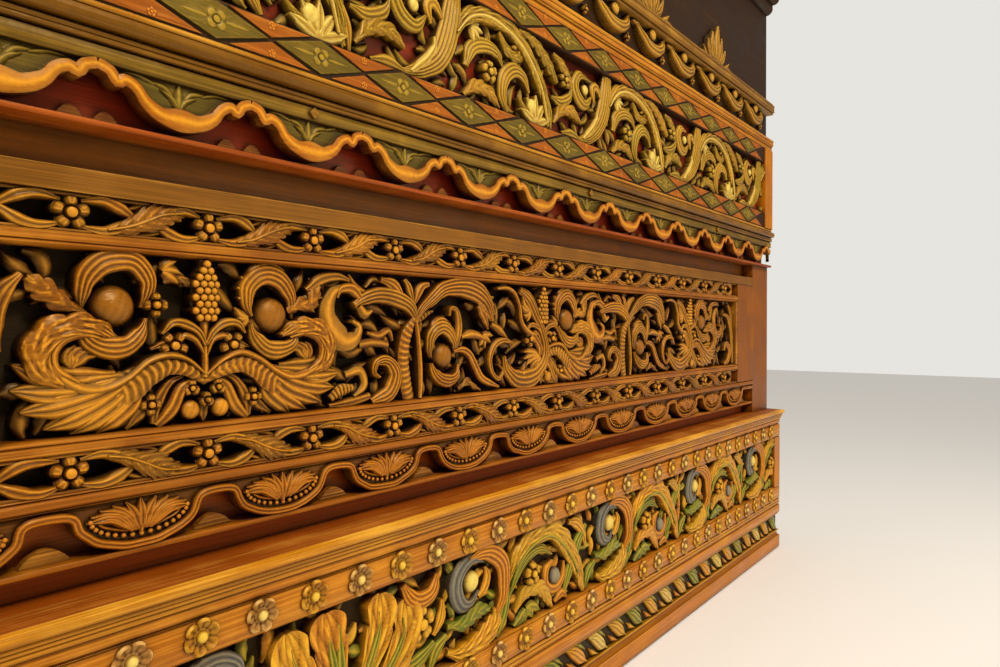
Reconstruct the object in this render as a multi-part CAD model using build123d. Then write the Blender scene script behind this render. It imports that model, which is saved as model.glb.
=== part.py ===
from build123d import *
import math
import os

# Carved and painted wooden facade bay. Millimetres; X runs along the wall, the carving looks
# along -Y, Z is up, and the origin is the middle of the bay's footprint on the floor.
facade_width = 2540
overall_depth = 150
upright_depth = 33
upright_width = 80
plank_thickness = 20
cornice_cap_thickness = 20

# Bottom tier, from the floor up
skirting_height = 58
leaf_strip_height = 64
lower_rail_height = 50
rosette_band_height = 46
lower_field_height = 172
lower_cap_height = 49
lower_front_depth = 80
lower_front_thickness = 40
lower_cap_overhang = 17
shelf_thickness = 20
lower_stile_width = 55
cheek_thickness = 20
rosette_pitch = 78
rosette_diameter = 45
rosette_proud = 10
rosette_petals = 5
leaf_pitch = 84

# Wall board in sight between the bottom and the middle tier, then the pierced middle tier
wall_gap_below = 30
valance_height = 63
valance_rail_height = 17
border_height = 42
field_margin = 17
middle_field_height = 201
top_rail_height = 26
middle_front_depth = 35
valance_thickness = 22
valance_proud = 3
carving_step = 7
boss_proud = 3
lobe_pitch = 186
flower_pitch = 154
post_width = 150
left_stile_width = 63
right_stile_width = 138

# Wall board in sight above it, then the painted upper tier
wall_gap_above = 45
bead_height = 7
ribbon_height = 61
fascia_height = 22
half_round_height = 43
lozenge_band_height = 52
upper_field_height = 172
upper_moulding_height = 39
upper_front_depth = 50
ribbon_thickness = 22
upper_stile_width = 75
ribbon_pitch = 181
ribbon_width = 16
lozenge_pitch = 154

# Dark top frieze
bracket_board_height = 90
gold_rail_height = 40
antefix_board_height = 135
top_board_height = 180
cornice_height = 60
cornice_step = 22
dark_board_depth = 30
recess_thickness = 15
bump_depth = 10
bracket_pitch = 190
bracket_depth = 30
antefix_pitch = 430
antefix_depth = 20

# Carved curves are cut as flats, none turning by more than this many degrees
flat_turn = 64
small_boss = 23

# Planes across the depth, worked out from the wall side
back_face = overall_depth / 2
upright_front = back_face - upright_depth
plank_front = upright_front - plank_thickness
lower_front = plank_front - lower_front_depth
lower_back = lower_front + lower_front_thickness
middle_front = plank_front - middle_front_depth
upper_front = plank_front - upper_front_depth
dark_front = plank_front - dark_board_depth

right_end = facade_width / 2
left_end = -right_end

# Levels up the bay, worked out from the heights
z_leaf_strip = skirting_height
z_lower_rail = z_leaf_strip + leaf_strip_height
z_lower_band = z_lower_rail + lower_rail_height
z_lower_field = z_lower_band + rosette_band_height
z_upper_band = z_lower_field + lower_field_height
z_lower_cap = z_upper_band + rosette_band_height
z_lower_top = z_lower_cap + lower_cap_height
z_valance = z_lower_top + wall_gap_below
z_valance_rail = z_valance + valance_height
z_lower_border = z_valance_rail + valance_rail_height
z_middle_plank = z_lower_border + border_height
z_middle_field = z_middle_plank + field_margin
z_middle_field_top = z_middle_field + middle_field_height
z_upper_border = z_middle_field_top + field_margin
z_top_rail = z_upper_border + border_height
z_middle_top = z_top_rail + top_rail_height
z_bead = z_middle_top + wall_gap_above
z_ribbon = z_bead + bead_height
z_fascia = z_ribbon + ribbon_height
z_half_round = z_fascia + fascia_height
z_lower_lozenge = z_half_round + half_round_height
z_upper_field = z_lower_lozenge + lozenge_band_height
z_upper_lozenge = z_upper_field + upper_field_height
z_upper_moulding = z_upper_lozenge + lozenge_band_height
z_bracket_board = z_upper_moulding + upper_moulding_height
z_gold_rail = z_bracket_board + bracket_board_height
z_antefix_board = z_gold_rail + gold_rail_height
z_top_board = z_antefix_board + antefix_board_height
z_cornice = z_top_board + top_board_height
z_cap = z_cornice + cornice_height
z_top = z_cap + cornice_cap_thickness

full_width = (left_end, right_end)


def timber(x_span, y_span, z_span):
    """A plain squared timber or board between three pairs of faces."""
    spans = (x_span, y_span, z_span)
    size = [high - low for low, high in spans]
    middle = [(high + low) / 2 for low, high in spans]
    return Pos(*middle) * Box(*size)


def edge(start, end, rise=0):
    """A straight edge, or an arc that stands rise to the left of the way from start to end."""
    if rise == 0:
        return Line(start, end)
    run, climb = end[0] - start[0], end[1] - start[1]
    chord = math.hypot(run, climb)
    top = ((start[0] + end[0] - 2 * rise * climb / chord) / 2, (start[1] + end[1] + 2 * rise * run / chord) / 2)
    return ThreePointArc(start, top, end)


def outline(start, *steps):
    """A closed face from a start point and steps of (u, v) or (u, v, rise) that lead back to it."""
    edges = []
    here = start
    for step in steps + (start,) if steps[-1][:2] != start else steps:
        there = step[:2]
        edges.append(edge(here, there, step[2] if len(step) > 2 else 0))
        here = there
    return make_face(edges)


def bend(start, end, rise=0, fewest=1):
    """Points to end along an arc that stands rise to the left of its chord, cut into flats."""
    if rise == 0:
        return [end]
    run, climb = end[0] - start[0], end[1] - start[1]
    chord = math.hypot(run, climb)
    half_turn = 2 * math.atan2(2 * rise, chord)
    radius = chord / (2 * math.sin(half_turn))
    flats = max(fewest, math.ceil(math.degrees(2 * abs(half_turn)) / flat_turn))
    points = []
    for i in range(1, flats + 1):
        angle = half_turn * (2 * i / flats - 1)
        along = (chord / 2 + radius * math.sin(angle)) / chord
        aside = radius * (math.cos(angle) - math.cos(half_turn)) / chord
        points.append((start[0] + along * run - aside * climb, start[1] + along * climb + aside * run))
    return points


def carved(start, *steps):
    """A face cut in flats from a start point and steps of (u, v) or (u, v, rise); it closes itself."""
    points = [start]
    for step in steps:
        points += bend(points[-1], step[:2], *step[2:])
    return make_face(Polyline(*points, close=True))


def leaf(root, tip, rise, other_rise):
    """A leaf, crescent or scroll between two curves from root to tip."""
    points = [root] + bend(root, tip, rise, 2) + bend(tip, root, -other_rise)[:-1]
    return make_face(Polyline(*points, close=True))


def flower(centre, radius, petals=5, notch=0.62):
    """A flower's outline, with a point at each petal and a notch between two petals."""
    turn = math.pi / petals
    points = []
    for i in range(2 * petals):
        reach = radius * (notch if i % 2 else 1)
        points.append((centre[0] + reach * math.sin(i * turn), centre[1] + reach * math.cos(i * turn)))
    return make_face(Polyline(*points, close=True))


def relief(faces, back, front):
    """Carving that stands from the plane y=back out to y=front."""
    together = Sketch() + faces
    return extrude(Plane.XZ.offset(-back) * together, amount=back - front)


def moulding(section, x_span):
    """A section in (y, z) run along X."""
    return extrude(Plane.YZ.offset(x_span[0]) * section, amount=x_span[1] - x_span[0])


def places(pitch, first, low, high, reach):
    """Where copies of something that reaches so far each way fit between low and high."""
    start = math.ceil((low + reach - first) / pitch)
    stop = math.floor((high - reach - first) / pitch)
    return [first + i * pitch for i in range(start, stop + 1)]


def sized(table, kind, x, z, percent):
    """Motifs of one kind from a table set out in hundredths of a field's height."""
    faces = []
    for row in table:
        points = [(x + u * percent, z + v * percent) for u, v in row[:2]]
        faces.append(kind(*points, *[value * percent for value in row[2:]]))
    return faces


def disc(centre, radius):
    """A round boss cut in flats: eight, or six where it is small."""
    return Pos(*centre) * RegularPolygon(radius, 8 if radius > small_boss else 6)


def discs(table, x, z, percent):
    """Round bosses from rows of (u, v, radius) in hundredths of a field's height."""
    return [disc((x + u * percent, z + v * percent), r * percent) for u, v, r in table]


# Frame behind the bay


def uprights():
    spans = {
        "left_upright": (left_end, left_end + upright_width),
        "middle_upright": (-upright_width / 2, upright_width / 2),
        "right_upright": (right_end - upright_width, right_end),
    }
    depth = (upright_front, back_face)
    return {name: timber(span, depth, (0, z_cap)) for name, span in spans.items()}


def base_sill():
    return timber(full_width, (lower_back, upright_front), (0, skirting_height))


def wall_planks():
    """Horizontal planks on the uprights; their joints lie behind rails."""
    levels = {
        "bottom_wall_plank": (skirting_height, z_lower_field),
        "lower_wall_plank": (z_lower_field, z_valance_rail),
        "middle_wall_plank": (z_valance_rail, z_top_rail),
        "upper_wall_plank": (z_top_rail, z_half_round),
        "high_wall_plank": (z_half_round, z_upper_moulding),
        "top_wall_plank": (z_upper_moulding, z_cap),
    }
    depth = (plank_front, upright_front)
    return {name: timber(full_width, depth, span) for name, span in levels.items()}


# Bottom tier


def skirting():
    """Plinth strip with a rounded top edge over a small quirk."""
    nose = 10
    quirk = 4
    face = lower_front
    section = outline(
        (lower_back, 0),
        (lower_back, skirting_height),
        (face + nose + quirk, skirting_height),
        (face + nose, skirting_height - quirk),
        (face, skirting_height - quirk - nose, nose * 0.4),
        (face, nose / 2),
        (face + nose / 2, 0),
        (lower_back, 0),
    )
    return moulding(section, full_width)


def leaf_strip():
    """Low strip with a row of slanted leaves."""
    ground = lower_front + 14
    margin = 5
    low, high = z_leaf_strip, z_lower_rail
    strip = timber(full_width, (ground, lower_back), (low, high))
    faces = []
    for x in places(leaf_pitch, 0, left_end, right_end, leaf_pitch / 2):
        root, tip = (x - leaf_pitch * 0.42, high - margin), (x + leaf_pitch * 0.42, low + margin)
        faces.append(leaf(root, tip, leaf_pitch * 0.17, -leaf_pitch * 0.1))
    return strip + relief(faces, ground, lower_front + 2)


def lower_rail():
    """Plain rail with two ridges along its upper edge."""
    ridge = 8
    groove = 3
    face, low, high = lower_front, z_lower_rail, z_lower_band
    section = outline(
        (lower_back, low),
        (lower_back, high),
        (face + groove, high),
        (face + groove, high - ridge, -groove),
        (face + groove, high - 2 * ridge, -groove),
        (face, high - 2 * ridge - groove),
        (face, low),
        (lower_back, low),
    )
    return moulding(section, full_width)


def rosette_band(low):
    return timber(full_width, (lower_front, lower_back), (low, low + rosette_band_height))


def rosette_row(low):
    """Small rosettes rising to a point, pinned along one band."""
    z = low + rosette_band_height / 2
    rim = Plane.XZ.offset(-lower_front) * flower((0, z), rosette_diameter / 2, rosette_petals, notch=0.78)
    one = loft([rim.face(), Vertex(0, lower_front - rosette_proud, z)], ruled=True)
    spots = places(rosette_pitch, 0, left_end, right_end, rosette_pitch / 2)
    return Compound([Pos(x, 0, 0) * one for x in spots])


def lower_stiles():
    depth = (lower_front, lower_back)
    levels = (z_lower_field, z_upper_band)
    return {
        "lower_left_stile": timber((left_end, left_end + lower_stile_width), depth, levels),
        "lower_right_stile": timber((right_end - lower_stile_width, right_end), depth, levels),
    }


def lower_cheeks():
    depth = (lower_back, plank_front)
    levels = (skirting_height, z_lower_top - shelf_thickness)
    return {
        "lower_left_cheek": timber((left_end, left_end + cheek_thickness), depth, levels),
        "lower_right_cheek": timber((right_end - cheek_thickness, right_end), depth, levels),
    }


def lower_shelf():
    return timber(full_width, (lower_back, plank_front), (z_lower_top - shelf_thickness, z_lower_top))


def lower_cap():
    """Cap moulding: a fascia, three fine ridges and a thick rounded edge on top."""
    fascia = 19
    ridge = 17 / 3
    step = 3
    face, low, high = lower_front, z_lower_cap, z_lower_top
    lip = face - lower_cap_overhang
    section = outline(
        (lower_back, low),
        (lower_back, high),
        (lip + 3, high),
        (lip, high - 3, 1),
        (lip, low + fascia + 3 * ridge),
        (face - step * 3, low + fascia + 3 * ridge),
        (face - step * 3, low + fascia + 2 * ridge, 1.5),
        (face - step * 2, low + fascia + 2 * ridge),
        (face - step * 2, low + fascia + ridge, 1.5),
        (face - step, low + fascia + ridge),
        (face - step, low + fascia, 1.5),
        (face, low + fascia),
        (face, low),
        (lower_back, low),
    )
    return moulding(section, full_width)


# Motifs of the bottom field, in hundredths of its height from the left spiral's foot
lower_leaves = [
    ((20, 92), (50, 34), 22, 9),
    ((-34, 38), (40, 26), -24, -4),
    ((-30, 40), (-8, 4), -14, -3),
    ((56, 34), (98, 92), 14, -1),
    ((58, 40), (204, 6), 60, 46),
    ((84, 62), (122, 40), 14, 2),
    ((118, 32), (170, 6), -18, -6),
    ((174, 92), (232, 52), 14, -2),
]
lower_bosses = [(0, 68, 26), (145, 38, 16), (-57, 56, 13), (98, 30, 11)]
palmette_leaves = [
    ((8, 1), (-86, 44), 8, -12),
    ((5, 3), (-44, 64), 6, -12),
    ((0, -2), (-4, 71), 10, -10),
    ((-5, 3), (40, 66), 12, -6),
    ((-8, 3), (80, 52), 16, -6),
    ((-3, -4), (74, 12), 10, -6),
]


def lower_field():
    """Carved plank of the bottom tier: scrolls, leaves and bosses on a sunk ground."""
    height = lower_field_height
    percent = height / 100
    repeat = 2.7 * height
    inner = (left_end + lower_stile_width, right_end - lower_stile_width)
    ground = lower_back - 15
    front = lower_front - 2
    plank = timber(inner, (ground, lower_back), (z_lower_field, z_upper_band))
    window = Pos(0, z_lower_field + height / 2) * Rectangle(inner[1] - inner[0], height)
    low_faces = []
    high_faces = []
    for i in range(-3, 4):
        x = -2.18 * height + i * repeat
        low_faces += sized(lower_leaves[4:], leaf, x, z_lower_field, percent)
        low_faces += discs(lower_bosses[2:], x, z_lower_field, percent)
        high_faces += sized(lower_leaves[:4], leaf, x, z_lower_field, percent)
        high_faces += discs(lower_bosses[:2], x, z_lower_field, percent)
        if i <= 0:
            low_faces += sized(palmette_leaves, leaf, x - 1.55 * height, z_lower_field + 0.3 * height, percent)
    step = front + 8
    low = relief(window & (Sketch() + low_faces + high_faces), ground, step)
    return plank + low + relief(window & (Sketch() + high_faces), step, front)


# Middle tier


def bead_with_bumps(span, low, height, front, spots, bump):
    """A thin strip under a valance, with low bumps standing on it under each arch."""
    strip = timber(span, (front, plank_front), (low, low + height))
    width, rise = bump
    z = low + height
    faces = []
    for x in spots:
        left, right = x - width / 2, x + width / 2
        faces.append(carved((left, z), (left + width / 4, z + rise), (right - width / 4, z + rise), (right, z)))
    back = plank_front - recess_thickness
    return strip + relief(faces, back, back - bump_depth)


def valance():
    """Row of broad lobes with small hollow arches between, each lobe with a raised fan."""
    low, high = z_valance + bead_height, z_valance_rail
    spring = high - 0.36 * valance_height
    half_lobe = lobe_pitch / 3
    arch_rise = (lobe_pitch - 2 * half_lobe) * 0.22
    back = middle_front + valance_thickness - valance_proud
    front = middle_front - valance_proud
    first = -0.86 * lobe_pitch
    centres = places(lobe_pitch, first, left_end + post_width, right_end - post_width, half_lobe)
    start, stop = left_end + post_width, right_end - post_width
    steps = []
    here = start
    for x in centres:
        if x - half_lobe > here:
            steps.append((x - half_lobe, spring, arch_rise))
        steps.append((x + half_lobe, spring, low - spring))
        here = x + half_lobe
    steps.append((stop, spring, arch_rise))
    steps.append((stop, high))
    steps.append((start, high))
    board = relief([carved((start, spring), *steps)], back, front + 4)
    rim = 9
    top = high - rim / 2
    fans = [carved((x - half_lobe + rim, top), (x + half_lobe - rim, top, low + rim - top)) for x in centres]
    return board + relief(fans, front + 4, front)


def valance_rail():
    """Rounded rail over the valance, between the posts."""
    span = (left_end + post_width, right_end - post_width)
    low, high = z_valance_rail, z_lower_border
    section = outline(
        (plank_front, low),
        (plank_front, high),
        (middle_front, high),
        (middle_front, low, -3),
        (plank_front, low),
    )
    return moulding(section, span)


def border(low, lean):
    """Pierced strip: a flower between two almond openings, and a leaf that leans to the next flower."""
    start = left_end + post_width + left_stile_width
    stop = right_end - post_width - right_stile_width
    high = low + border_height
    middle = (low + high) / 2
    strip = Pos((start + stop) / 2, middle) * Rectangle(stop - start, border_height)
    openings = []
    raised = []
    reach = flower_pitch * 0.4
    for x in places(flower_pitch, -0.33 * flower_pitch, start, stop, reach):
        inner, outer = flower_pitch * 0.09, flower_pitch * 0.37
        swell = border_height * 0.22
        for side in (-1, 1):
            root = (x + side * inner, middle)
            tip = (x + side * outer, middle + side * lean * border_height * 0.06)
            openings.append(leaf(root, tip, swell, -swell))
        raised.append(flower((x, middle), border_height * 0.4))
        foot = (x + reach, middle - lean * border_height * 0.4)
        head = (x + flower_pitch - reach, middle + lean * border_height * 0.4)
        if head[0] < stop:
            raised.append(leaf(foot, head, border_height * 0.2, -border_height * 0.2))
    step = middle_front + carving_step
    return relief([strip - openings], plank_front, step) + relief(raised, step, middle_front)


# Motifs of the middle field, in hundredths of its height from the foot of a cone stem
cone_leaves = [
    ((0, 62), (0, 102), 10, -10),
    ((3, 55), (-24, 50), -9, -3),
    ((-3, 55), (24, 50), 9, 3),
    ((-2, 28), (-18, -1), 6, -2),
    ((2, 28), (20, -1), -6, 2),
]
cone_stem = [((0, 24), (0, 66), 3.5, -3.5)]
cone_flowers = [(-19, 46, 9), (20, 48, 9), (0, 12, 14)]
right_frond = [
    ((-4, 26), (50, 22), 11, 2),
    ((34, 32), (96, 24), -22, -3),
    ((88, 10), (54, 54), -32, -17),
]
right_ball_arcs = [
    ((32, 80), (62, 86), 18, 8),
    ((27, 66), (70, 56), -20, -9),
    ((4, 80), (38, 84), 4, -4),
    ((18, 48), (46, 66), 5, -3),
]
left_frond = [
    ((4, 26), (-50, 24), -11, -2),
    ((-34, 32), (-98, 24), 22, 4),
    ((-90, 10), (-64, 60), 30, 16),
]
left_ball_arcs = [
    ((-66, 80), (-28, 92), 16, 8),
    ((-68, 70), (-24, 64), -22, -10),
    ((-54, 72), (-96, 86), 6, -8),
    ((-4, 82), (-34, 86), -4, 4),
    ((-17, 48), (-50, 70), -5, 3),
]
stem_leaves = [
    ((-3, -1), (0, 74), 17, 2),
    ((0, 66), (-64, 86), -17, -7),
    ((-2, 80), (-30, 101), -6, 4),
    ((0, 78), (16, 101), 6, -4),
    ((-8, 56), (104, 66), 38, 22),
    ((93, 72), (130, 46), 6, -5),
]
scroll_leaves = [
    ((-82, 90), (-74, 42), -18, -2),
    ((-82, 48), (-54, 62), -15, -2),
    ((-34, -1), (-38, 40), 12, -14),
    ((-90, -1), (-56, 20), -4, 9),
]
arc_leaves = [
    ((10, 36), (48, 60), 16, 7),
    ((14, 20), (52, -1), -14, -5),
    ((46, 34), (48, 78), 6, -6),
    ((42, 38), (108, -1), 13, 4),
    ((128, 46), (104, -1), -24, -12),
    ((132, 101), (138, -1), 50, 35),
    ((132, -1), (176, 34), -16, 4),
    ((144, 101), (176, 50), 8, -5),
]


def middle_field():
    """Pierced plank with its own plain margins: cones, ball bosses, fronds and ribbed stems."""
    height = middle_field_height
    percent = height / 100
    repeat = 3.57 * height
    start = left_end + post_width + left_stile_width
    stop = right_end - post_width - right_stile_width
    low, high = z_middle_plank, z_upper_border
    frame = Pos((start + stop) / 2, (low + high) / 2) * Rectangle(stop - start, high - low)
    sides = 2 * field_margin
    window = Pos((start + stop) / 2, (low + high) / 2) * Rectangle(stop - start - sides, height)
    thin = []
    thick = []
    balls = []
    z = z_middle_field
    cone = -1.11 * repeat - 0.13 * height
    for i in range(3):
        x = cone + i * repeat
        thin += sized(cone_stem + right_ball_arcs, leaf, x, z, percent)
        thick += sized(cone_leaves + right_frond, leaf, x, z, percent)
        thin += discs(cone_flowers, x, z, percent)
        balls.append((x + 48 * percent, z + 68 * percent, 11 * percent))
        if i != 1:
            thin += sized(left_ball_arcs, leaf, x, z, percent)
            thick += sized(left_frond, leaf, x, z, percent)
            balls.append((x - 52 * percent, z + 73 * percent, 12 * percent))
        stem = x + repeat / 2
        if i < 2:
            thick += sized(stem_leaves + arc_leaves[4:6], leaf, stem, z, percent)
            thin += sized(scroll_leaves + arc_leaves[:4] + arc_leaves[6:], leaf, stem, z, percent)
            balls.append((stem + 32 * percent, z + 34 * percent, 12 * percent))
    step = middle_front + carving_step
    crown = middle_front - boss_proud
    rounds = [disc((bx, bz), radius) for bx, bz, radius in balls]
    openwork = relief([frame - window, window & (Sketch() + thin + thick + rounds)], plank_front, step)
    fronds = relief([window & (Sketch() + thick)], step, middle_front)
    bosses = [extrude(Plane.XZ.offset(-step) * face, amount=step - crown, taper=35) for face in rounds]
    return openwork + fronds + bosses


def middle_stiles():
    levels = (z_lower_border, z_top_rail)
    depth = (middle_front, plank_front)
    left = left_end + post_width
    right = right_end - post_width
    return {
        "middle_left_stile": timber((left, left + left_stile_width), depth, levels),
        "middle_right_stile": timber((right - right_stile_width, right), depth, levels),
    }


def middle_posts():
    levels = (z_lower_top, z_bead)
    depth = (middle_front, plank_front)
    return {
        "middle_left_post": timber((left_end, left_end + post_width), depth, levels),
        "middle_right_post": timber((right_end - post_width, right_end), depth, levels),
    }


def middle_top_rail():
    span = (left_end + post_width, right_end - post_width)
    return timber(span, (middle_front - 2, plank_front), (z_top_rail, z_middle_top))


# Upper tier


def ribbon_valance():
    """Wavy folded ribbon hung from a sunk board that fills the bays between its waves."""
    low, high = z_ribbon, z_fascia
    back = upper_front + ribbon_thickness
    waves = places(ribbon_pitch, 0.23 * ribbon_pitch, left_end, right_end, ribbon_pitch / 4)
    shoulder = low + 0.72 * ribbon_height
    reach = ribbon_pitch / 4
    loops = []
    fills = []
    for x in waves:
        inner = reach - ribbon_width
        dip = low + ribbon_width - shoulder
        loop = [(x + reach, shoulder, low - shoulder), (x + inner, shoulder), (x - inner, shoulder, -dip)]
        loops.append(carved((x - reach, shoulder), *loop))
        fills.append(carved((x - inner, shoulder), (x + inner, shoulder, dip)))
    edges_x = [left_end] + [x + side * (reach - ribbon_width) for x in waves for side in (-1, 1)] + [right_end]
    for left, right in zip(edges_x[::2], edges_x[1::2]):
        if right > left:
            crown = (high - shoulder) * 0.3
            top = shoulder + (high - shoulder) * 0.35
            fold = [(left, top), (right, top, crown), (right, shoulder), (left, shoulder, -crown)]
            loops.append(carved((left, shoulder), *fold))
    band = Pos(0, (high + shoulder) / 2) * Rectangle(facade_width, high - shoulder)
    spandrels = relief([band] + fills, back, upper_front + 8)
    return spandrels + relief(loops, back, upper_front)


def ribbon_recess():
    return timber(full_width, (plank_front - recess_thickness, plank_front), (z_ribbon, z_fascia))


def fascia():
    return timber(full_width, (upper_front + 2, plank_front), (z_fascia, z_half_round))


def fascia_studs():
    """Small square studs set cornerwise on the fascia."""
    z = (z_fascia + z_half_round) / 2
    half = 8
    spots = places(4 * ribbon_pitch, 0.25 * ribbon_pitch, left_end, right_end, half)
    face = make_face(Polyline((0, z - half), (half, z), (0, z + half), (-half, z), close=True))
    one = relief([face], upper_front + 2, upper_front - 3)
    return Compound([Pos(x, 0, 0) * one for x in spots])


def half_round():
    """Two fine ridges, a half-round and a fillet under the painted band."""
    ridge = 6
    step = 2
    low, high = z_half_round, z_lower_lozenge
    face = upper_front
    fillet_height = 8
    section = outline(
        (plank_front, low),
        (plank_front, high),
        (face, high),
        (face, high - fillet_height),
        (face - step, high - fillet_height),
        (face - step, low + 2 * ridge, 10),
        (face, low + 2 * ridge),
        (face, low + ridge, step),
        (face, low, step),
        (plank_front, low),
    )
    return moulding(section, full_width)


def lozenge_band(low, span):
    """Band with raised lozenges, point to point."""
    margin = 2
    gap = 3
    high = low + lozenge_band_height
    middle = (low + high) / 2
    half = lozenge_pitch / 2 - gap
    band = timber(span, (upper_front, plank_front), (low, high))
    faces = []
    for x in places(lozenge_pitch, -0.33 * lozenge_pitch, span[0], span[1], half):
        points = [(x - half, middle), (x, low + margin), (x + half, middle), (x, high - margin)]
        faces.append(make_face(Polyline(*points, close=True)))
    return band + relief(faces, upper_front, upper_front - 3)


def upper_stiles():
    depth = (upper_front - 3, plank_front)
    levels = (z_lower_lozenge, z_upper_moulding)
    return {
        "upper_left_stile": timber((left_end, left_end + upper_stile_width), depth, levels),
        "upper_right_stile": timber((right_end - upper_stile_width, right_end), depth, levels),
    }


# Motifs of the upper field, in hundredths of its height from the foot of a trunk
upper_leaves = [
    ((-66, 4), (2, 100), -34, -14),
    ((4, 70), (172, 2), 62, 50),
    ((108, 100), (188, 64), 18, 3),
    ((80, 2), (130, 8), 56, 36),
    ((76, 90), (108, 64), -18, -7),
    ((-30, 82), (-78, 80), 30, 14),
    ((-66, 6), (-24, 38), 12, -6),
    ((-152, 6), (-66, 10), 14, -3),
    ((-150, 30), (-96, 60), -14, 4),
    ((-128, 92), (-78, 66), 16, 2),
]
upper_bosses = [(134, 26, 9), (-54, 58, 9)]


def upper_field():
    """Carved plank of the upper tier: arching stems and curls on a sunk ground."""
    height = upper_field_height
    percent = height / 100
    repeat = 3 * height
    inner = (left_end + upper_stile_width, right_end - upper_stile_width)
    ground = plank_front - 25
    front = upper_front - 5
    plank = timber(inner, (ground, plank_front), (z_upper_field, z_upper_lozenge))
    window = Pos(0, z_upper_field + height / 2) * Rectangle(inner[1] - inner[0], height)
    stems = []
    curls = []
    for i in range(-2, 4):
        x = -2.27 * height + i * repeat
        stems += sized(upper_leaves[:3] + upper_leaves[6:8], leaf, x, z_upper_field, percent)
        curls += sized(upper_leaves[3:6] + upper_leaves[8:], leaf, x, z_upper_field, percent)
        curls += discs(upper_bosses, x, z_upper_field, percent)
    step = front + 8
    low = relief(window & (Sketch() + stems + curls), ground, step)
    return plank + low + relief(window & (Sketch() + stems), step, front)


def upper_moulding():
    """Flat band with a rounded nose along the top of the painted tier."""
    low, high = z_upper_moulding, z_bracket_board
    face = upper_front
    section = outline(
        (plank_front, low),
        (plank_front, high),
        (face + 4, high),
        (face - 6, high - 10, 3),
        (face - 6, low + 14),
        (face, low + 14),
        (face, low),
        (plank_front, low),
    )
    return moulding(section, full_width)


# Dark top frieze


def dark_board(low, high):
    return timber(full_width, (dark_front, plank_front), (low, high))


def scroll_brackets():
    """Row of fat crescent scrolls with a small drop between each two."""
    low = z_bracket_board + bracket_board_height * 0.38
    high = z_gold_rail
    half = bracket_pitch * 0.4
    faces = []
    for x in places(bracket_pitch, -0.16 * bracket_pitch, left_end, right_end, half):
        faces.append(leaf((x - half, high), (x + half, high), low - high, (low - high) * 0.35))
    scrolls = relief(faces, dark_front, dark_front - bracket_depth)
    drop = bracket_board_height * 0.13
    spots = places(bracket_pitch, 0.22 * bracket_pitch, left_end, right_end, drop)
    drops = [
        relief([Pos(x, low - drop * 0.4) * RegularPolygon(drop, 4)], dark_front, dark_front - bracket_depth / 2)
        for x in spots
    ]
    return Compound(scrolls.solids() + [solid for part in drops for solid in part.solids()])


def gold_rail():
    low, high = z_gold_rail, z_antefix_board
    face = dark_front - bracket_depth
    section = outline(
        (plank_front, low),
        (plank_front, high),
        (face + 12, high),
        (face, high - 12, 4),
        (face, low + 8),
        (face + 6, low),
        (plank_front, low),
    )
    return moulding(section, full_width)


def antefixes():
    """Upright pointed ornaments with hollowed shoulders, each with a raised middle leaf."""
    low = z_antefix_board
    height = antefix_board_height * 0.86
    half = antefix_pitch * 0.34
    solids = []
    for x in places(antefix_pitch, -0.17 * antefix_pitch, left_end, right_end, half):
        shoulder = low + height * 0.6
        body = carved(
            (x - half, low),
            (x + half, low),
            (x + half * 0.55, shoulder, half * 0.12),
            (x, low + height, half * 0.1),
            (x - half * 0.55, shoulder, half * 0.1),
            (x - half, low, half * 0.12),
        )
        middle = leaf((x, low), (x, low + height * 0.86), half * 0.3, -half * 0.3)
        back, front = dark_front, dark_front - antefix_depth
        solids.append(relief([body], back, front + 6) + relief([middle], front + 6, front))
    return Compound([solid for part in solids for solid in part.solids()])


def cornice():
    """Stepped cove under the cap."""
    low, high = z_cornice, z_cap
    face = dark_front
    out = cornice_step
    section = outline(
        (plank_front, low),
        (plank_front, high),
        (face - 2 * out, high),
        (face - 2 * out, high - out * 0.64),
        (face - out, high - out * 1.27, -out * 0.27),
        (face - out, high - out * 1.64),
        (face, low, -out * 0.36),
        (plank_front, low),
    )
    return moulding(section, full_width)


def cornice_cap():
    front = lower_front - lower_cap_overhang
    return timber(full_width, (front, back_face), (z_cap, z_top))


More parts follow.
